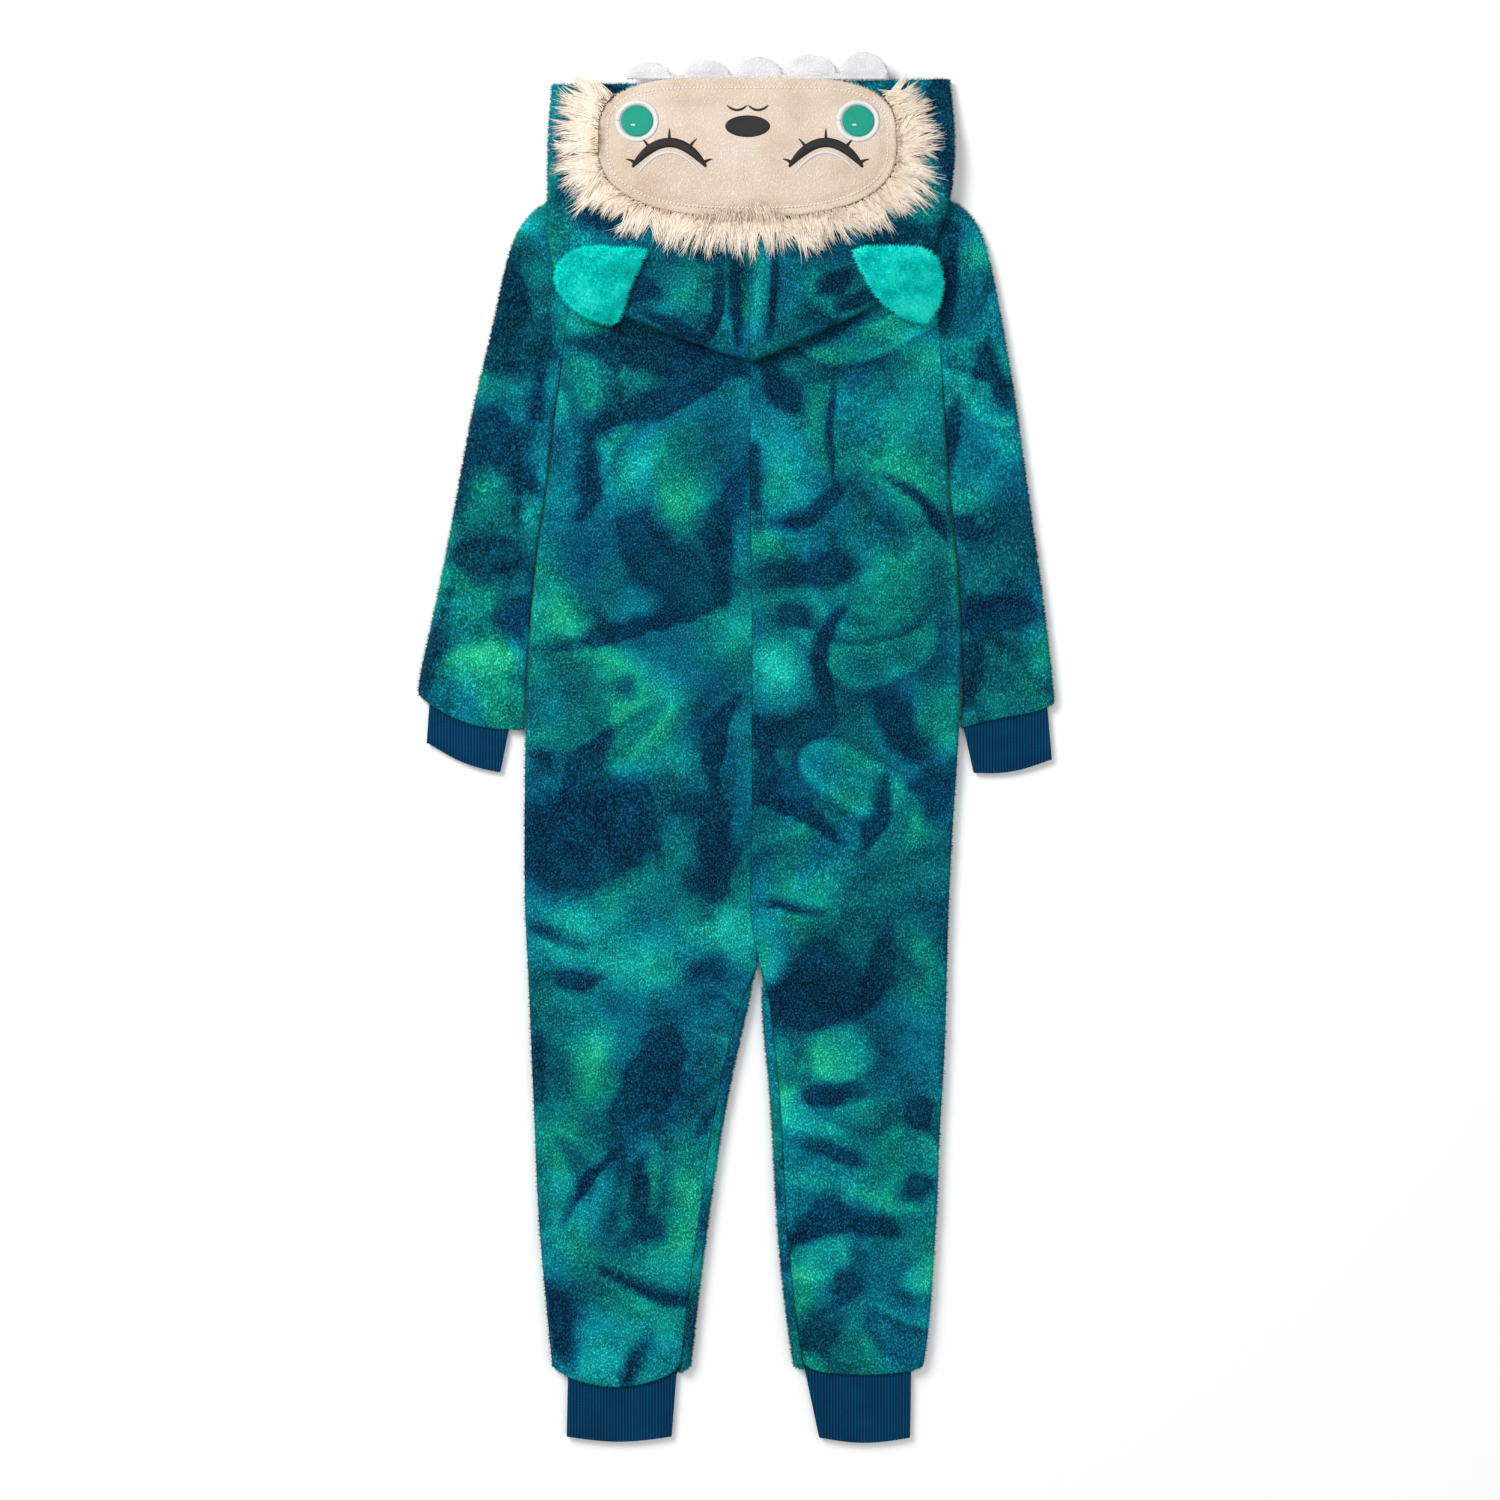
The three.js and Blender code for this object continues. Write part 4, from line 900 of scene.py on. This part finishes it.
HOOD_GLOWS_AND_HIGHLIGHT = {
    "left": [
        (-40, 422, 30, 16, 60, 0, 1, 0.55),
        (-162, 580, 22, 14, 60, 0, 1, 0.45),
        (-72, 396, 20, 10, 20, 0, 1, 0.4),
        (-130, 440, 20, 14, 0, 0, 1, 0.3),
    ],
    "right": [
        # painted highlight along the ridge of the centre fold
        (21, 408, 44, 8, 88, 0, 1, 0.9),
        (150, 484, 30, 22, 40, 0, 1, 0.6),
        (64, 412, 26, 14, 70, 0, 1, 0.45),
        (164, 520, 20, 14, 0, 0, 1, 0.35),
    ],
}
HOOD_CREASES = [
    (9, 404, 36, 3.4, 90, 0, -2.8),
    (21, 402, 38, 6, 90, 2, 2.6),
    (37, 406, 32, 4.5, 86, -3, -2.4),
    (54, 408, 34, 7, 78, -4, 1.6),
    (-18, 396, 40, 7, 74, 6, -0.9),
    (-44, 402, 36, 8, 60, 6, 0.8),
    (104, 421, 20, 3.4, -8, 2, -2.2),
    (84, 400, 30, 7, 50, -4, 0.7),
    (-108, 420, 24, 5, 30, 3, -0.7),
    (150, 470, 40, 7, 64, 4, 0.6),
    (-150, 500, 40, 7, -70, 4, 0.6),
]
for side, shift in (("left", (0.31, 2.2, 0)), ("right", (4.1, 0.7, 0))):
    half = plush_panel(
        "hood_" + side, 3, shift, HOOD_DYE_AND_SHADE_STROKES[side], HOOD_GLOWS_AND_HIGHLIGHT[side], HOOD_CREASES
    )
    places = places_of(half.data)
    at_seam = np.exp(-(((places[:, 0] - HOOD_SEAM_X) / HOOD_SEAM_WIDE) ** 2))
    places[:, 0] += at_seam * (HOOD_SEAM_PULL if side == "left" else -HOOD_SEAM_PULL)
    put_back(half.data, places)

# Face panel on the hood's front: cream plush over thin wadding, edge-stitched all round. Upside
# down, as the folded hood shows it, with a plain sleeping animal face embroidered in satin stitch.
FACE_MIDDLE = (10, 537)
FACE_HALF = (134, 63)
FACE_SQUARE_FRONT, FACE_SQUARE_LOW = 3.8, 2.5
STITCH_INSET = 8.5
STITCH_LONG = 3.4
STITCH_SIZE = (STITCH_LONG * 0.9, 1.9, 1.5)
STITCH_ABOVE = 0.1
PANEL_PUFF, PUFF_FROM_STITCH, PUFF_WIDE = 1.1, 6, 4
PANEL_REACH, PANEL_FRONT, PANEL_FRONT_BAND = 2.6, 586, 14
PANEL_SIDE_HIGH = 6
CHANNEL_DEEP, CHANNEL_WIDE = 1.2, 2.6
PANEL_CREASES = [
    (8, 574, 66, 4.5, 0, 3, -1.0),
    (10, 583, 80, 7, 0, 0, 0.6),
    (-60, 504, 50, 9, -18, 0, -0.5),
    (84, 506, 50, 9, 18, 0, -0.5),
    (12, 512, 22, 8, 88, 0, -0.6),
]


def face_edge(degrees, inset):
    """A point on the panel's rounded outline, drawn in by an inset, in millimetres."""
    c, s = math.cos(math.radians(degrees)), math.sin(math.radians(degrees))
    square = FACE_SQUARE_FRONT if s > 0 else FACE_SQUARE_LOW
    reach = (abs(c) ** square + abs(s) ** square) ** (-1 / square)
    return Vector(
        (
            FACE_MIDDLE[0] + (FACE_HALF[0] * reach - inset) * c,
            FACE_MIDDLE[1] + (FACE_HALF[1] * reach - inset) * s,
        )
    )


def even_walk(points, step):
    """Points a step apart along a closed line of points."""
    ring = points + [points[0]]
    walked, left = [], 0.0
    for a, b in zip(ring, ring[1:]):
        gap = (b - a).length
        while left < gap:
            walked.append(a.lerp(b, left / gap))
            left += step
        left -= gap
    return walked


def nearest_gap(places, line):
    """How far each place lies from a line of points, seen from above."""
    line = np.array([p[:2] for p in line])
    return np.array([np.hypot(*(line - p[:2]).T).min() for p in places])


def top_of(*pieces):
    """The cloth's upper side as a surface to lay things on."""
    joined = bmesh.new()
    for piece in pieces:
        joined.from_mesh(piece.data)
    surface = BVHTree.FromBMesh(joined)
    joined.free()
    return surface


def height_on(surface, x, y, fallback=0.0):
    """The height of the surface under a point seen from above, in metres."""
    hit = surface.ray_cast(Vector((x, y, 1)), Vector((0, 0, -1)))[0]
    return hit.z if hit else fallback


stitch_line = [face_edge(a, STITCH_INSET) for a in range(0, 360, 2)]
panel = soft_copy("face_panel", "face_panel_cloth", 2)
places = places_of(panel.data)
places[:, 1] += PANEL_REACH * np.clip((places[:, 1] - PANEL_FRONT) / PANEL_FRONT_BAND, 0, 1) ** 2
gap = nearest_gap(places, even_walk(stitch_line, 2.0))
top_share = np.clip((places[:, 2] - places[:, 2].min()) / PANEL_SIDE_HIGH, 0, 1)
edge_puff = PANEL_PUFF * np.exp(-(((gap - PUFF_FROM_STITCH) / PUFF_WIDE) ** 2))
places[:, 2] += top_share * (edge_puff - CHANNEL_DEEP * np.exp(-((gap / CHANNEL_WIDE) ** 2)))
put_back(panel.data, places)
press(panel, PANEL_CREASES)


def cream_colour(tree):
    """Cream plush with faint warmer and paler patches."""
    place = object_place(tree)
    patches = noise_at(tree, place, 22, 3)
    tone = spread(tree, patches, 0.3, 0.7)
    creams = [(0, srgb(208, 185, 163)), (0.5, srgb(219, 200, 181)), (1, srgb(226, 210, 194))]
    return ramp(tree, tone, creams)


# colour of the painted glints on the cream pile's tips
CREAM_GLINT = srgb(250, 240, 228)
cream_plush = pile_finish("cream_plush", cream_colour, 700, 0.12, 0.7 * MM, 0.1, CREAM_GLINT, 0.1)
panel.data.materials.append(cream_plush)
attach(panel, "garment")
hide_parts("face_panel")
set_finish(panel, "cream")
cream_tufts = tuft_finish("cream_tufts", srgb(236, 218, 200))
grow_tufts(panel, SHORT_TUFTS, cream_tufts, rounded_rim(panel.data))


def thread_finish(name, colour, gloss, mark=None):
    """Thread: fine satin stitches side by side, along the mark if there is one, softly shining, with
    painted shade between the stitches.
    """
    material, tree, shader = finish_of(
        name, gloss, Sheen_Weight=0.03, Sheen_Roughness=0.4, Specular_IOR_Level=0.2
    )
    place = object_place(tree)
    bands, laid = "DIAGONAL", place
    if mark:
        bands = "X"
        laid = add_node(tree, "ShaderNodeAttribute", {"attribute_name": mark}).outputs["Vector"]
    threads = add_node(
        tree, "ShaderNodeTexWave", {"bands_direction": bands}, Vector=laid, Scale=300, Distortion=0.8
    )
    grain = noise_at(tree, place, 900, 2)
    height = maths(tree, "MULTIPLY_ADD", grain, 0.6, threads.outputs["Fac"])
    # painted shade: the thread darkens where its stitches dip between each other
    darker = tuple(part * 0.55 for part in colour[:3]) + (1,)
    bump = add_node(tree, "ShaderNodeBump", Strength=0.6, Distance=0.25 * MM, Height=height)
    share = spread(tree, height, 0.2, 1.2)
    tree.links.new(mixed(tree, share, darker, colour), shader.inputs["Base Color"])
    tree.links.new(bump.outputs[0], shader.inputs["Normal"])
    return material


cream_thread = thread_finish("cream_thread", srgb(250, 244, 236), 0.5)
panel_top = top_of(panel)
stitches = bmesh.new()
walk = even_walk(stitch_line, STITCH_LONG)
for a, b in zip(walk, walk[1:] + walk[:1]):
    middle = (a + b) / 2 * MM
    stitch = bmesh.ops.create_icosphere(stitches, subdivisions=1, radius=0.5)["verts"]
    z = height_on(panel_top, middle.x, middle.y)
    turned = Matrix.Rotation(math.atan2(b.y - a.y, b.x - a.x), 4, "Z")
    size = Matrix.Diagonal([part * MM for part in STITCH_SIZE] + [1])
    place = Matrix.Translation((middle.x, middle.y, z + STITCH_ABOVE * MM))
    bmesh.ops.transform(stitches, matrix=place @ turned @ size, verts=stitch)
edge_stitching = bpy.data.meshes.new("edge_stitching")
stitches.to_mesh(edge_stitching)
stitches.free()
edge_stitching = shown("edge_stitching", edge_stitching)
edge_stitching.data.materials.append(cream_thread)
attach(edge_stitching, "garment")
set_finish(edge_stitching, "cream")

# The sleeping face on the panel: closed eyes with lashes, round cheeks and a nose, each a filled
# patch of satin stitch that stands a little proud of the plush and is sewn through it.
EYES = ((-60, 519), (80, 519))
EYE_REACH, EYE_RISE, EYE_THICK = 33, 22, 4.4
LASHES = ((-0.92, 9), (-0.52, 12), (0.0, 13), (0.52, 12), (0.92, 9))
LASH_THICK = 1.9
CHEEKS = ((-89, 561), (109, 561))
CHEEK_ROUND, CHEEK_RING = 14.5, 2.2
NOSE, NOSE_HALF = (10, 556), (20, 10)
MOUTH = ((0.5, 575.5), (19.5, 575.5))
MOUTH_REACH, MOUTH_DEEP, MOUTH_THICK = 9, 4.5, 1.1
CHARCOAL, WHITE_THREAD = srgb(44, 42, 44), srgb(238, 238, 240)
TEAL_THREAD = srgb(14, 164, 138)
SATIN_RISE, SATIN_BACK = 0.9, 1.2
RING_GAP = 0.6
GLINT_SHIFT, GLINT_ROUND = -3.5, 2.8
UNDERLINE_DROP, UNDERLINE_THICK = 7, 1.2


def satin_patch(name, colour, shapes):
    """Patches of satin stitch: each shape gives a place in mm from u and v, both from -1 to 1."""
    patch = bmesh.new()
    stitch = patch.verts.layers.float_vector.new("stitch")
    for shape, long, wide, across, along in shapes:
        made = bmesh.ops.create_grid(patch, x_segments=along, y_segments=across, size=1)["verts"]
        for vert in made:
            u, v = vert.co.x, vert.co.y
            x, y = shape(u, v)
            ground = height_on(panel_top, x * MM, y * MM)
            rise = SATIN_RISE * math.sqrt(max(0, 1 - v * v * 0.9)) * (1 - u**8 * 0.6)
            vert[stitch] = (u * long * MM, v * wide * MM, 0)
            vert.co = (x * MM, y * MM, ground + rise * MM)
    bmesh.ops.recalc_face_normals(patch, faces=patch.faces)
    for face in patch.faces:
        if face.normal.z < 0:
            face.normal_flip()
    mesh = bpy.data.meshes.new(name)
    patch.to_mesh(mesh)
    patch.free()
    piece = shown(name, mesh)
    backing = piece.modifiers.new("backing", "SOLIDIFY")
    backing.thickness, backing.offset = SATIN_BACK * MM, -1
    piece.data.materials.append(thread_finish(name + "_thread", colour, 0.55, "stitch"))
    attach(piece, "garment")
    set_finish(piece, "cream")
    return piece


def arc(middle, reach, rise, thick):
    """An arched line of stitching, thinner at its ends."""
    def shape(u, v):
        slope = math.atan2(-2 * rise * u, reach)
        half = thick * (1 - 0.75 * u**4)
        x = middle[0] + reach * u - math.sin(slope) * half * v
        y = middle[1] + rise * (1 - u * u) + math.cos(slope) * half * v
        return x, y
    return shape, reach, thick, 4, 40


def lash(middle, at, long):
    """One eyelash, out from the lid and tapering to its tip."""
    x0 = middle[0] + EYE_REACH * at
    y0 = middle[1] + EYE_RISE * (1 - at * at)
    heading = math.radians(90 - 52 * at)
    def shape(u, v):
        t = (u + 1) / 2
        half = LASH_THICK * (1 - 0.8 * t)
        bend = heading - 0.35 * at * t
        x = x0 + math.cos(bend) * long * t - math.sin(bend) * half * v
        y = y0 + math.sin(bend) * long * t + math.cos(bend) * half * v
        return x, y
    return shape, long / 2, LASH_THICK, 3, 8


def disc(middle, half_wide, half_high):
    """A filled round or oval."""
    def shape(u, v):
        x = middle[0] + half_wide * u * math.sqrt(1 - v * v / 2)
        y = middle[1] + half_high * v * math.sqrt(1 - u * u / 2)
        return x, y
    return shape, half_wide, half_high, 16, 24


def ring(middle, radius, thick):
    """A round line of stitching."""
    def shape(u, v):
        turn = math.pi * u
        far = radius + thick * v
        return middle[0] + far * math.cos(turn), middle[1] + far * math.sin(turn)
    return shape, math.pi * radius, thick, 3, 48


lids = [arc(eye, EYE_REACH, EYE_RISE, EYE_THICK) for eye in EYES]
lashes = [lash(eye, at, long) for eye in EYES for at, long in LASHES]
smile = [arc(half, MOUTH_REACH, -MOUTH_DEEP, MOUTH_THICK) for half in MOUTH]
satin_patch("satin_lids", CHARCOAL, lids + lashes)
satin_patch("satin_nose", CHARCOAL, [disc(NOSE, *NOSE_HALF)] + smile)
satin_patch("satin_cheeks", TEAL_THREAD, [disc(c, CHEEK_ROUND, CHEEK_ROUND) for c in CHEEKS])
rings = [ring(c, CHEEK_ROUND + CHEEK_RING + RING_GAP, CHEEK_RING) for c in CHEEKS]
glints = [disc((x + GLINT_SHIFT, y + GLINT_SHIFT), GLINT_ROUND, GLINT_ROUND) for x, y in CHEEKS]
underlines = [
    arc((x, y - UNDERLINE_DROP), EYE_REACH - 4, EYE_RISE - 2, UNDERLINE_THICK) for x, y in EYES
]
satin_patch("satin_whites", WHITE_THREAD, rings + glints + underlines)

# Fur trim round the face panel: long cream pile on a narrow woven backing, all round but the
# front edge. The strands spring from the panel's edge in clumps and fall on the hood.
FUR_FROM, FUR_TO = 38, -219
FUR_CLUMPS = 204
CLUMP_STRANDS = 29
NOTCH_MIDDLE, NOTCH_WIDE, NOTCH_DEEP = -91, 17, 15
BACKING_FLAT = 0.6
ARCH_FALL, ARCH_RISE, ARCH_CLEAR = 0.7, 1.2, 0.5
TOP_LAYER_LONG, LAYER_SHORTER = 1.08, 0.42
LAYER_LOW, LAYER_HIGH = 1.6, 4.2
STRAND_JOINTS = 5
STRAND_TAPER = (1, 0.95, 0.8, 0.55, 0.12)
STRAND_THICK = 0.5 * MM
FUR_LENGTHS = [
    (-219, 33),
    (-195, 40),
    (-160, 39),
    (-138, 31),
    (-120, 32),
    (-105, 37),
    (-90, 30),
    (-75, 37),
    (-60, 34),
    (-45, 31),
    (-25, 37),
    (5, 38),
    (38, 31),
]
hair = random.Random(11)
lying_on = top_of(
    *(bpy.data.objects[name] for name in ("hood_left_cloth", "hood_right_cloth", "face_panel_cloth"))
)


def strand(data, root, heading, length, lift, bend, thick):
    """One strand: out of the backing, over in a low arch, its tip resting on the hood."""
    points = []
    for i in range(STRAND_JOINTS):
        t = i / (STRAND_JOINTS - 1)
        turn = heading + bend * t * t
        reach = length * t
        x = root.x + reach * math.cos((heading + turn) / 2)
        y = root.y + reach * math.sin((heading + turn) / 2)
        ground = height_on(lying_on, x * MM, y * MM, LOW_HOOD)
        arch = lift * (1 - t) ** ARCH_FALL + ARCH_RISE * math.sin(math.pi * t) + ARCH_CLEAR
        points += [x * MM, y * MM, ground + arch * MM, 1]
    spline = data.splines.new("POLY")
    spline.points.add(STRAND_JOINTS - 1)
    spline.points.foreach_set("co", points)
    spline.points.foreach_set("radius", [thick * share for share in STRAND_TAPER])


LOW_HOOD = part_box("face_panel")[0].z
fur_lines = bpy.data.curves.new("fur_strands", "CURVE")
fur_lines.dimensions = "3D"
fur_lines.bevel_depth = STRAND_THICK
fur_lines.bevel_resolution = 0
length_places, lengths = zip(*FUR_LENGTHS)
for clump in range(FUR_CLUMPS):
    at = FUR_FROM + (FUR_TO - FUR_FROM) * (clump + hair.random()) / FUR_CLUMPS
    layer = hair.random()
    reach = float(np.interp(at, length_places, lengths)) * hair.uniform(0.8, 1.14)
    reach *= TOP_LAYER_LONG - LAYER_SHORTER * layer
    out = face_edge(at, -30) - face_edge(at, 0)
    lean = math.atan2(out.y, out.x) + hair.gauss(0, 0.3)
    notch = NOTCH_DEEP * max(0, 1 - ((at - NOTCH_MIDDLE) / NOTCH_WIDE) ** 2) * layer
    tip = face_edge(at, -1.5) + Vector((math.cos(lean), math.sin(lean))) * reach
    for _ in range(CLUMP_STRANDS):
        root = face_edge(at + hair.gauss(0, 1.6), hair.uniform(-7, 0) + layer + notch)
        end = tip + Vector((hair.gauss(0, 2.1), hair.gauss(0, 2.1)))
        aim = end - root
        strand(
            fur_lines,
            root,
            math.atan2(aim.y, aim.x),
            aim.length * hair.uniform(0.7, 1.1),
            LAYER_LOW + LAYER_HIGH * layer + hair.uniform(0, 1.4),
            hair.gauss(0, 0.14),
            hair.uniform(0.55, 1.35),
        )
holder = bpy.data.objects.new("fur_strands_line", fur_lines)
bpy.context.scene.collection.objects.link(holder)
seen = bpy.context.evaluated_depsgraph_get()
fur = shown("fur_strands", bpy.data.meshes.new_from_object(holder.evaluated_get(seen)))
bpy.data.objects.remove(holder)
rings = len(fur.data.vertices) // STRAND_JOINTS // (FUR_CLUMPS * CLUMP_STRANDS)
along = np.tile(np.repeat(np.linspace(0, 1, STRAND_JOINTS), rings), FUR_CLUMPS * CLUMP_STRANDS)
out_mark = fur.data.attributes.new("along", "FLOAT", "POINT")
out_mark.data.foreach_set("value", along.astype(np.float32))


def fur_finish():
    """Cream fur: paler and warmer strands, greyer down between them, and painted shade darkening each
    strand toward its root.
    """
    material, tree, shader = finish_of(
        "cream_fur", 0.7, Sheen_Weight=0.1, Sheen_Roughness=0.4, Specular_IOR_Level=0.3
    )
    place = object_place(tree)
    strands = noise_at(tree, place, 330, 3)
    patches = noise_at(tree, place, 40, 2)
    out = add_node(tree, "ShaderNodeAttribute", {"attribute_name": "along"}).outputs["Fac"]
    tone = maths(tree, "MULTIPLY", spread(tree, strands, 0.32, 0.68), 0.34)
    tone = maths(tree, "MULTIPLY_ADD", spread(tree, patches, 0.3, 0.7), 0.2, tone)
    # painted shade: each strand darkens toward its root, where the strands crowd out of the backing
    tone = maths(tree, "MULTIPLY_ADD", out, 0.5, tone)
    colour = ramp(
        tree,
        tone,
        [
            (0, srgb(216, 192, 167)),
            (0.3, srgb(232, 215, 195)),
            (0.6, srgb(242, 230, 215)),
            (1, srgb(250, 245, 236)),
        ],
    )
    tree.links.new(colour, shader.inputs["Base Color"])
    return material


fur.data.materials.append(fur_finish())
backing = soft_copy("fur_trim", "fur_backing", 0)
places = places_of(backing.data)
places[:, 2] = LOW_HOOD / MM + (places[:, 2] - LOW_HOOD / MM) * BACKING_FLAT
put_back(backing.data, places)
backing.data.materials.append(fur.data.materials[0])
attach(fur, "garment")
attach(backing, "garment")
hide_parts("fur_trim")
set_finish(fur, "fur")
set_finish(backing, "fur")

# Scalloped edging at the hood's front edge: five white padded domes of short plush on one strip,
# sewn in under the face panel's front edge.
SCALLOP_TUCK = 0.9
SCALLOP_CROWN = 2.2
SCALLOP_MIDDLES, SCALLOP_HALF = (-78.7, -27, 18.7, 66.5, 113.7), 24
SCALLOP_STRIP = 6
scallops = soft_copy("scallop_trim", "scallop_edging", 3)
places = places_of(scallops.data)
front = places[:, 1].min()
share = np.clip((places[:, 1] - front) / SCALLOP_STRIP, 0, 1)
raised = (places[:, 2] > places[:, 2].mean()) * SCALLOP_CROWN
places[:, 1] -= SCALLOP_TUCK * (1 - share)
off_middle = np.abs(places[:, :1] - np.array(SCALLOP_MIDDLES)).min(axis=1) / SCALLOP_HALF
places[:, 2] += raised * np.clip(1 - off_middle**2, 0, 1) * share
put_back(scallops.data, places)


def white_colour(tree):
    """White plush, greyer in soft random patches."""
    place = object_place(tree)
    patches = noise_at(tree, place, 45, 3)
    tone = spread(tree, patches, 0.3, 0.7)
    return ramp(tree, tone, [(0, srgb(216, 216, 220)), (1, srgb(236, 235, 236))])


# colour of the painted glints on the white pile's tips
WHITE_GLINT = srgb(246, 246, 248)
white_plush = pile_finish("white_plush", white_colour, 700, 0.1, 0.6 * MM, 0.1, WHITE_GLINT, 0.2)
scallops.data.materials.append(white_plush)
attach(scallops, "garment")
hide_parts("scallop_trim")
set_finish(scallops, "white")
white_tufts = tuft_finish("white_tufts", srgb(234, 234, 236))
grow_tufts(scallops, SHORT_TUFTS, white_tufts, rounded_rim(scallops.data))

# Ears, left and right: padded, bright teal plush of a longer pile than the body, sewn on beside
# the centre of the hood with their tips pointing in, and lying flat outward.
def ear_colour(tree):
    """Bright teal plush with deeper shaded tufts."""
    place = object_place(tree)
    patches = noise_at(tree, place, 60, 4)
    tone = spread(tree, patches, 0.32, 0.68)
    return ramp(tree, tone, [(0, srgb(0, 204, 196)), (0.5, srgb(2, 232, 222)), (1, srgb(50, 244, 232))])


LONG_TUFTS = tuft_nodes("long_tufts", 3.6 * MM, 0.5 * MM, 0.7, 1.0e6)
ear_tufts = tuft_finish("ear_tufts", ear_colour)
# the lighter colour given here is the painted glint on the ear pile's tips
ear_plush = pile_finish("ear_plush", ear_colour, 500, 0.3, 1.5 * MM, 0.2, srgb(120, 250, 236), 0.2)
for side in ("left", "right"):
    ear = soft_copy("ear_" + side, "ear_" + side + "_plush", 3)
    ear.data.materials.append(ear_plush)
    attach(ear, "garment")
    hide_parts("ear_" + side)
    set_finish(ear, "teal")
    upper = np.array([v.normal.z > -0.3 for v in ear.data.vertices])
    grow_tufts(ear, LONG_TUFTS, ear_tufts, upper * 1.0)

# The pale floor that it lies on, seen from above only, the soft light and the camera overhead. The
# floor lets the light from below through, so that the underside can be looked at too.
FLOOR_HALF, FLOOR_BELOW, FLOOR_PALE = 6, 0.3 * MM, (0.97, 0.97, 0.97, 1)
SKY_STRENGTH = 0.53
PHOTO_MIDDLE = (12.15 * MM, -2.25 * MM)
PHOTO_WIDTH = 1350 * MM
CAMERA_HIGH = 3.5
floor_shape = bmesh.new()
bmesh.ops.create_grid(floor_shape, x_segments=1, y_segments=1, size=FLOOR_HALF)
bmesh.ops.translate(floor_shape, vec=(0, 0, cad_low.z - FLOOR_BELOW), verts=floor_shape.verts)
floor_mesh = bpy.data.meshes.new("floor")
floor_shape.to_mesh(floor_mesh)
floor_shape.free()
floor = shown("floor", floor_mesh)
material, tree, shader = finish_of("floor_white", 0.9, Specular_IOR_Level=0.1)
shader.inputs["Base Color"].default_value = FLOOR_PALE
seen_from_below = tree.nodes.new("ShaderNodeNewGeometry").outputs["Backfacing"]
clear = tree.nodes.new("ShaderNodeBsdfTransparent")
either = tree.nodes.new("ShaderNodeMixShader")
tree.links.new(shader.outputs[0], either.inputs[1])
tree.links.new(clear.outputs[0], either.inputs[2])
tree.links.new(either.outputs[0], tree.nodes["Material Output"].inputs["Surface"])
light_path = tree.nodes.new("ShaderNodeLightPath").outputs["Is Shadow Ray"]
let_through = maths(tree, "MAXIMUM", seen_from_below, light_path)
tree.links.new(let_through, either.inputs["Fac"])
floor.data.materials.append(material)
floor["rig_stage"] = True

world = bpy.data.worlds.new("pale_room")
bpy.context.scene.world = world
world.use_nodes = True
sky = world.node_tree.nodes["Background"]
sky.inputs["Color"].default_value = (1, 1, 1, 1)
sky.inputs["Strength"].default_value = SKY_STRENGTH


def soft_light(name, place, watts, wide):
    """A square soft box aimed at the middle of the garment."""
    lamp = bpy.data.lights.new(name, "AREA")
    lamp.energy, lamp.size = watts, wide
    holder = bpy.data.objects.new(name, lamp)
    holder.location = place
    holder.rotation_euler = (-Vector(place)).to_track_quat("-Z", "Y").to_euler()
    bpy.context.scene.collection.objects.link(holder)


soft_light("key_light", (-1.9, 1.9, 2.4), 105, 1.7)
soft_light("fill_light", (1.6, -1.4, 3.0), 22, 2.0)
soft_light("under_light", (-0.5, 0.4, -2.6), 26, 2.0)
camera_data = bpy.data.cameras.new("overhead_camera")
camera_data.sensor_width = 36
camera_data.lens = camera_data.sensor_width * CAMERA_HIGH / PHOTO_WIDTH
camera = bpy.data.objects.new("overhead_camera", camera_data)
camera.location = (*PHOTO_MIDDLE, CAMERA_HIGH)
bpy.context.scene.collection.objects.link(camera)
bpy.context.scene.camera = camera
bpy.context.scene.view_settings.view_transform = "Standard"

bpy.context.view_layer.update()
low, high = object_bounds()
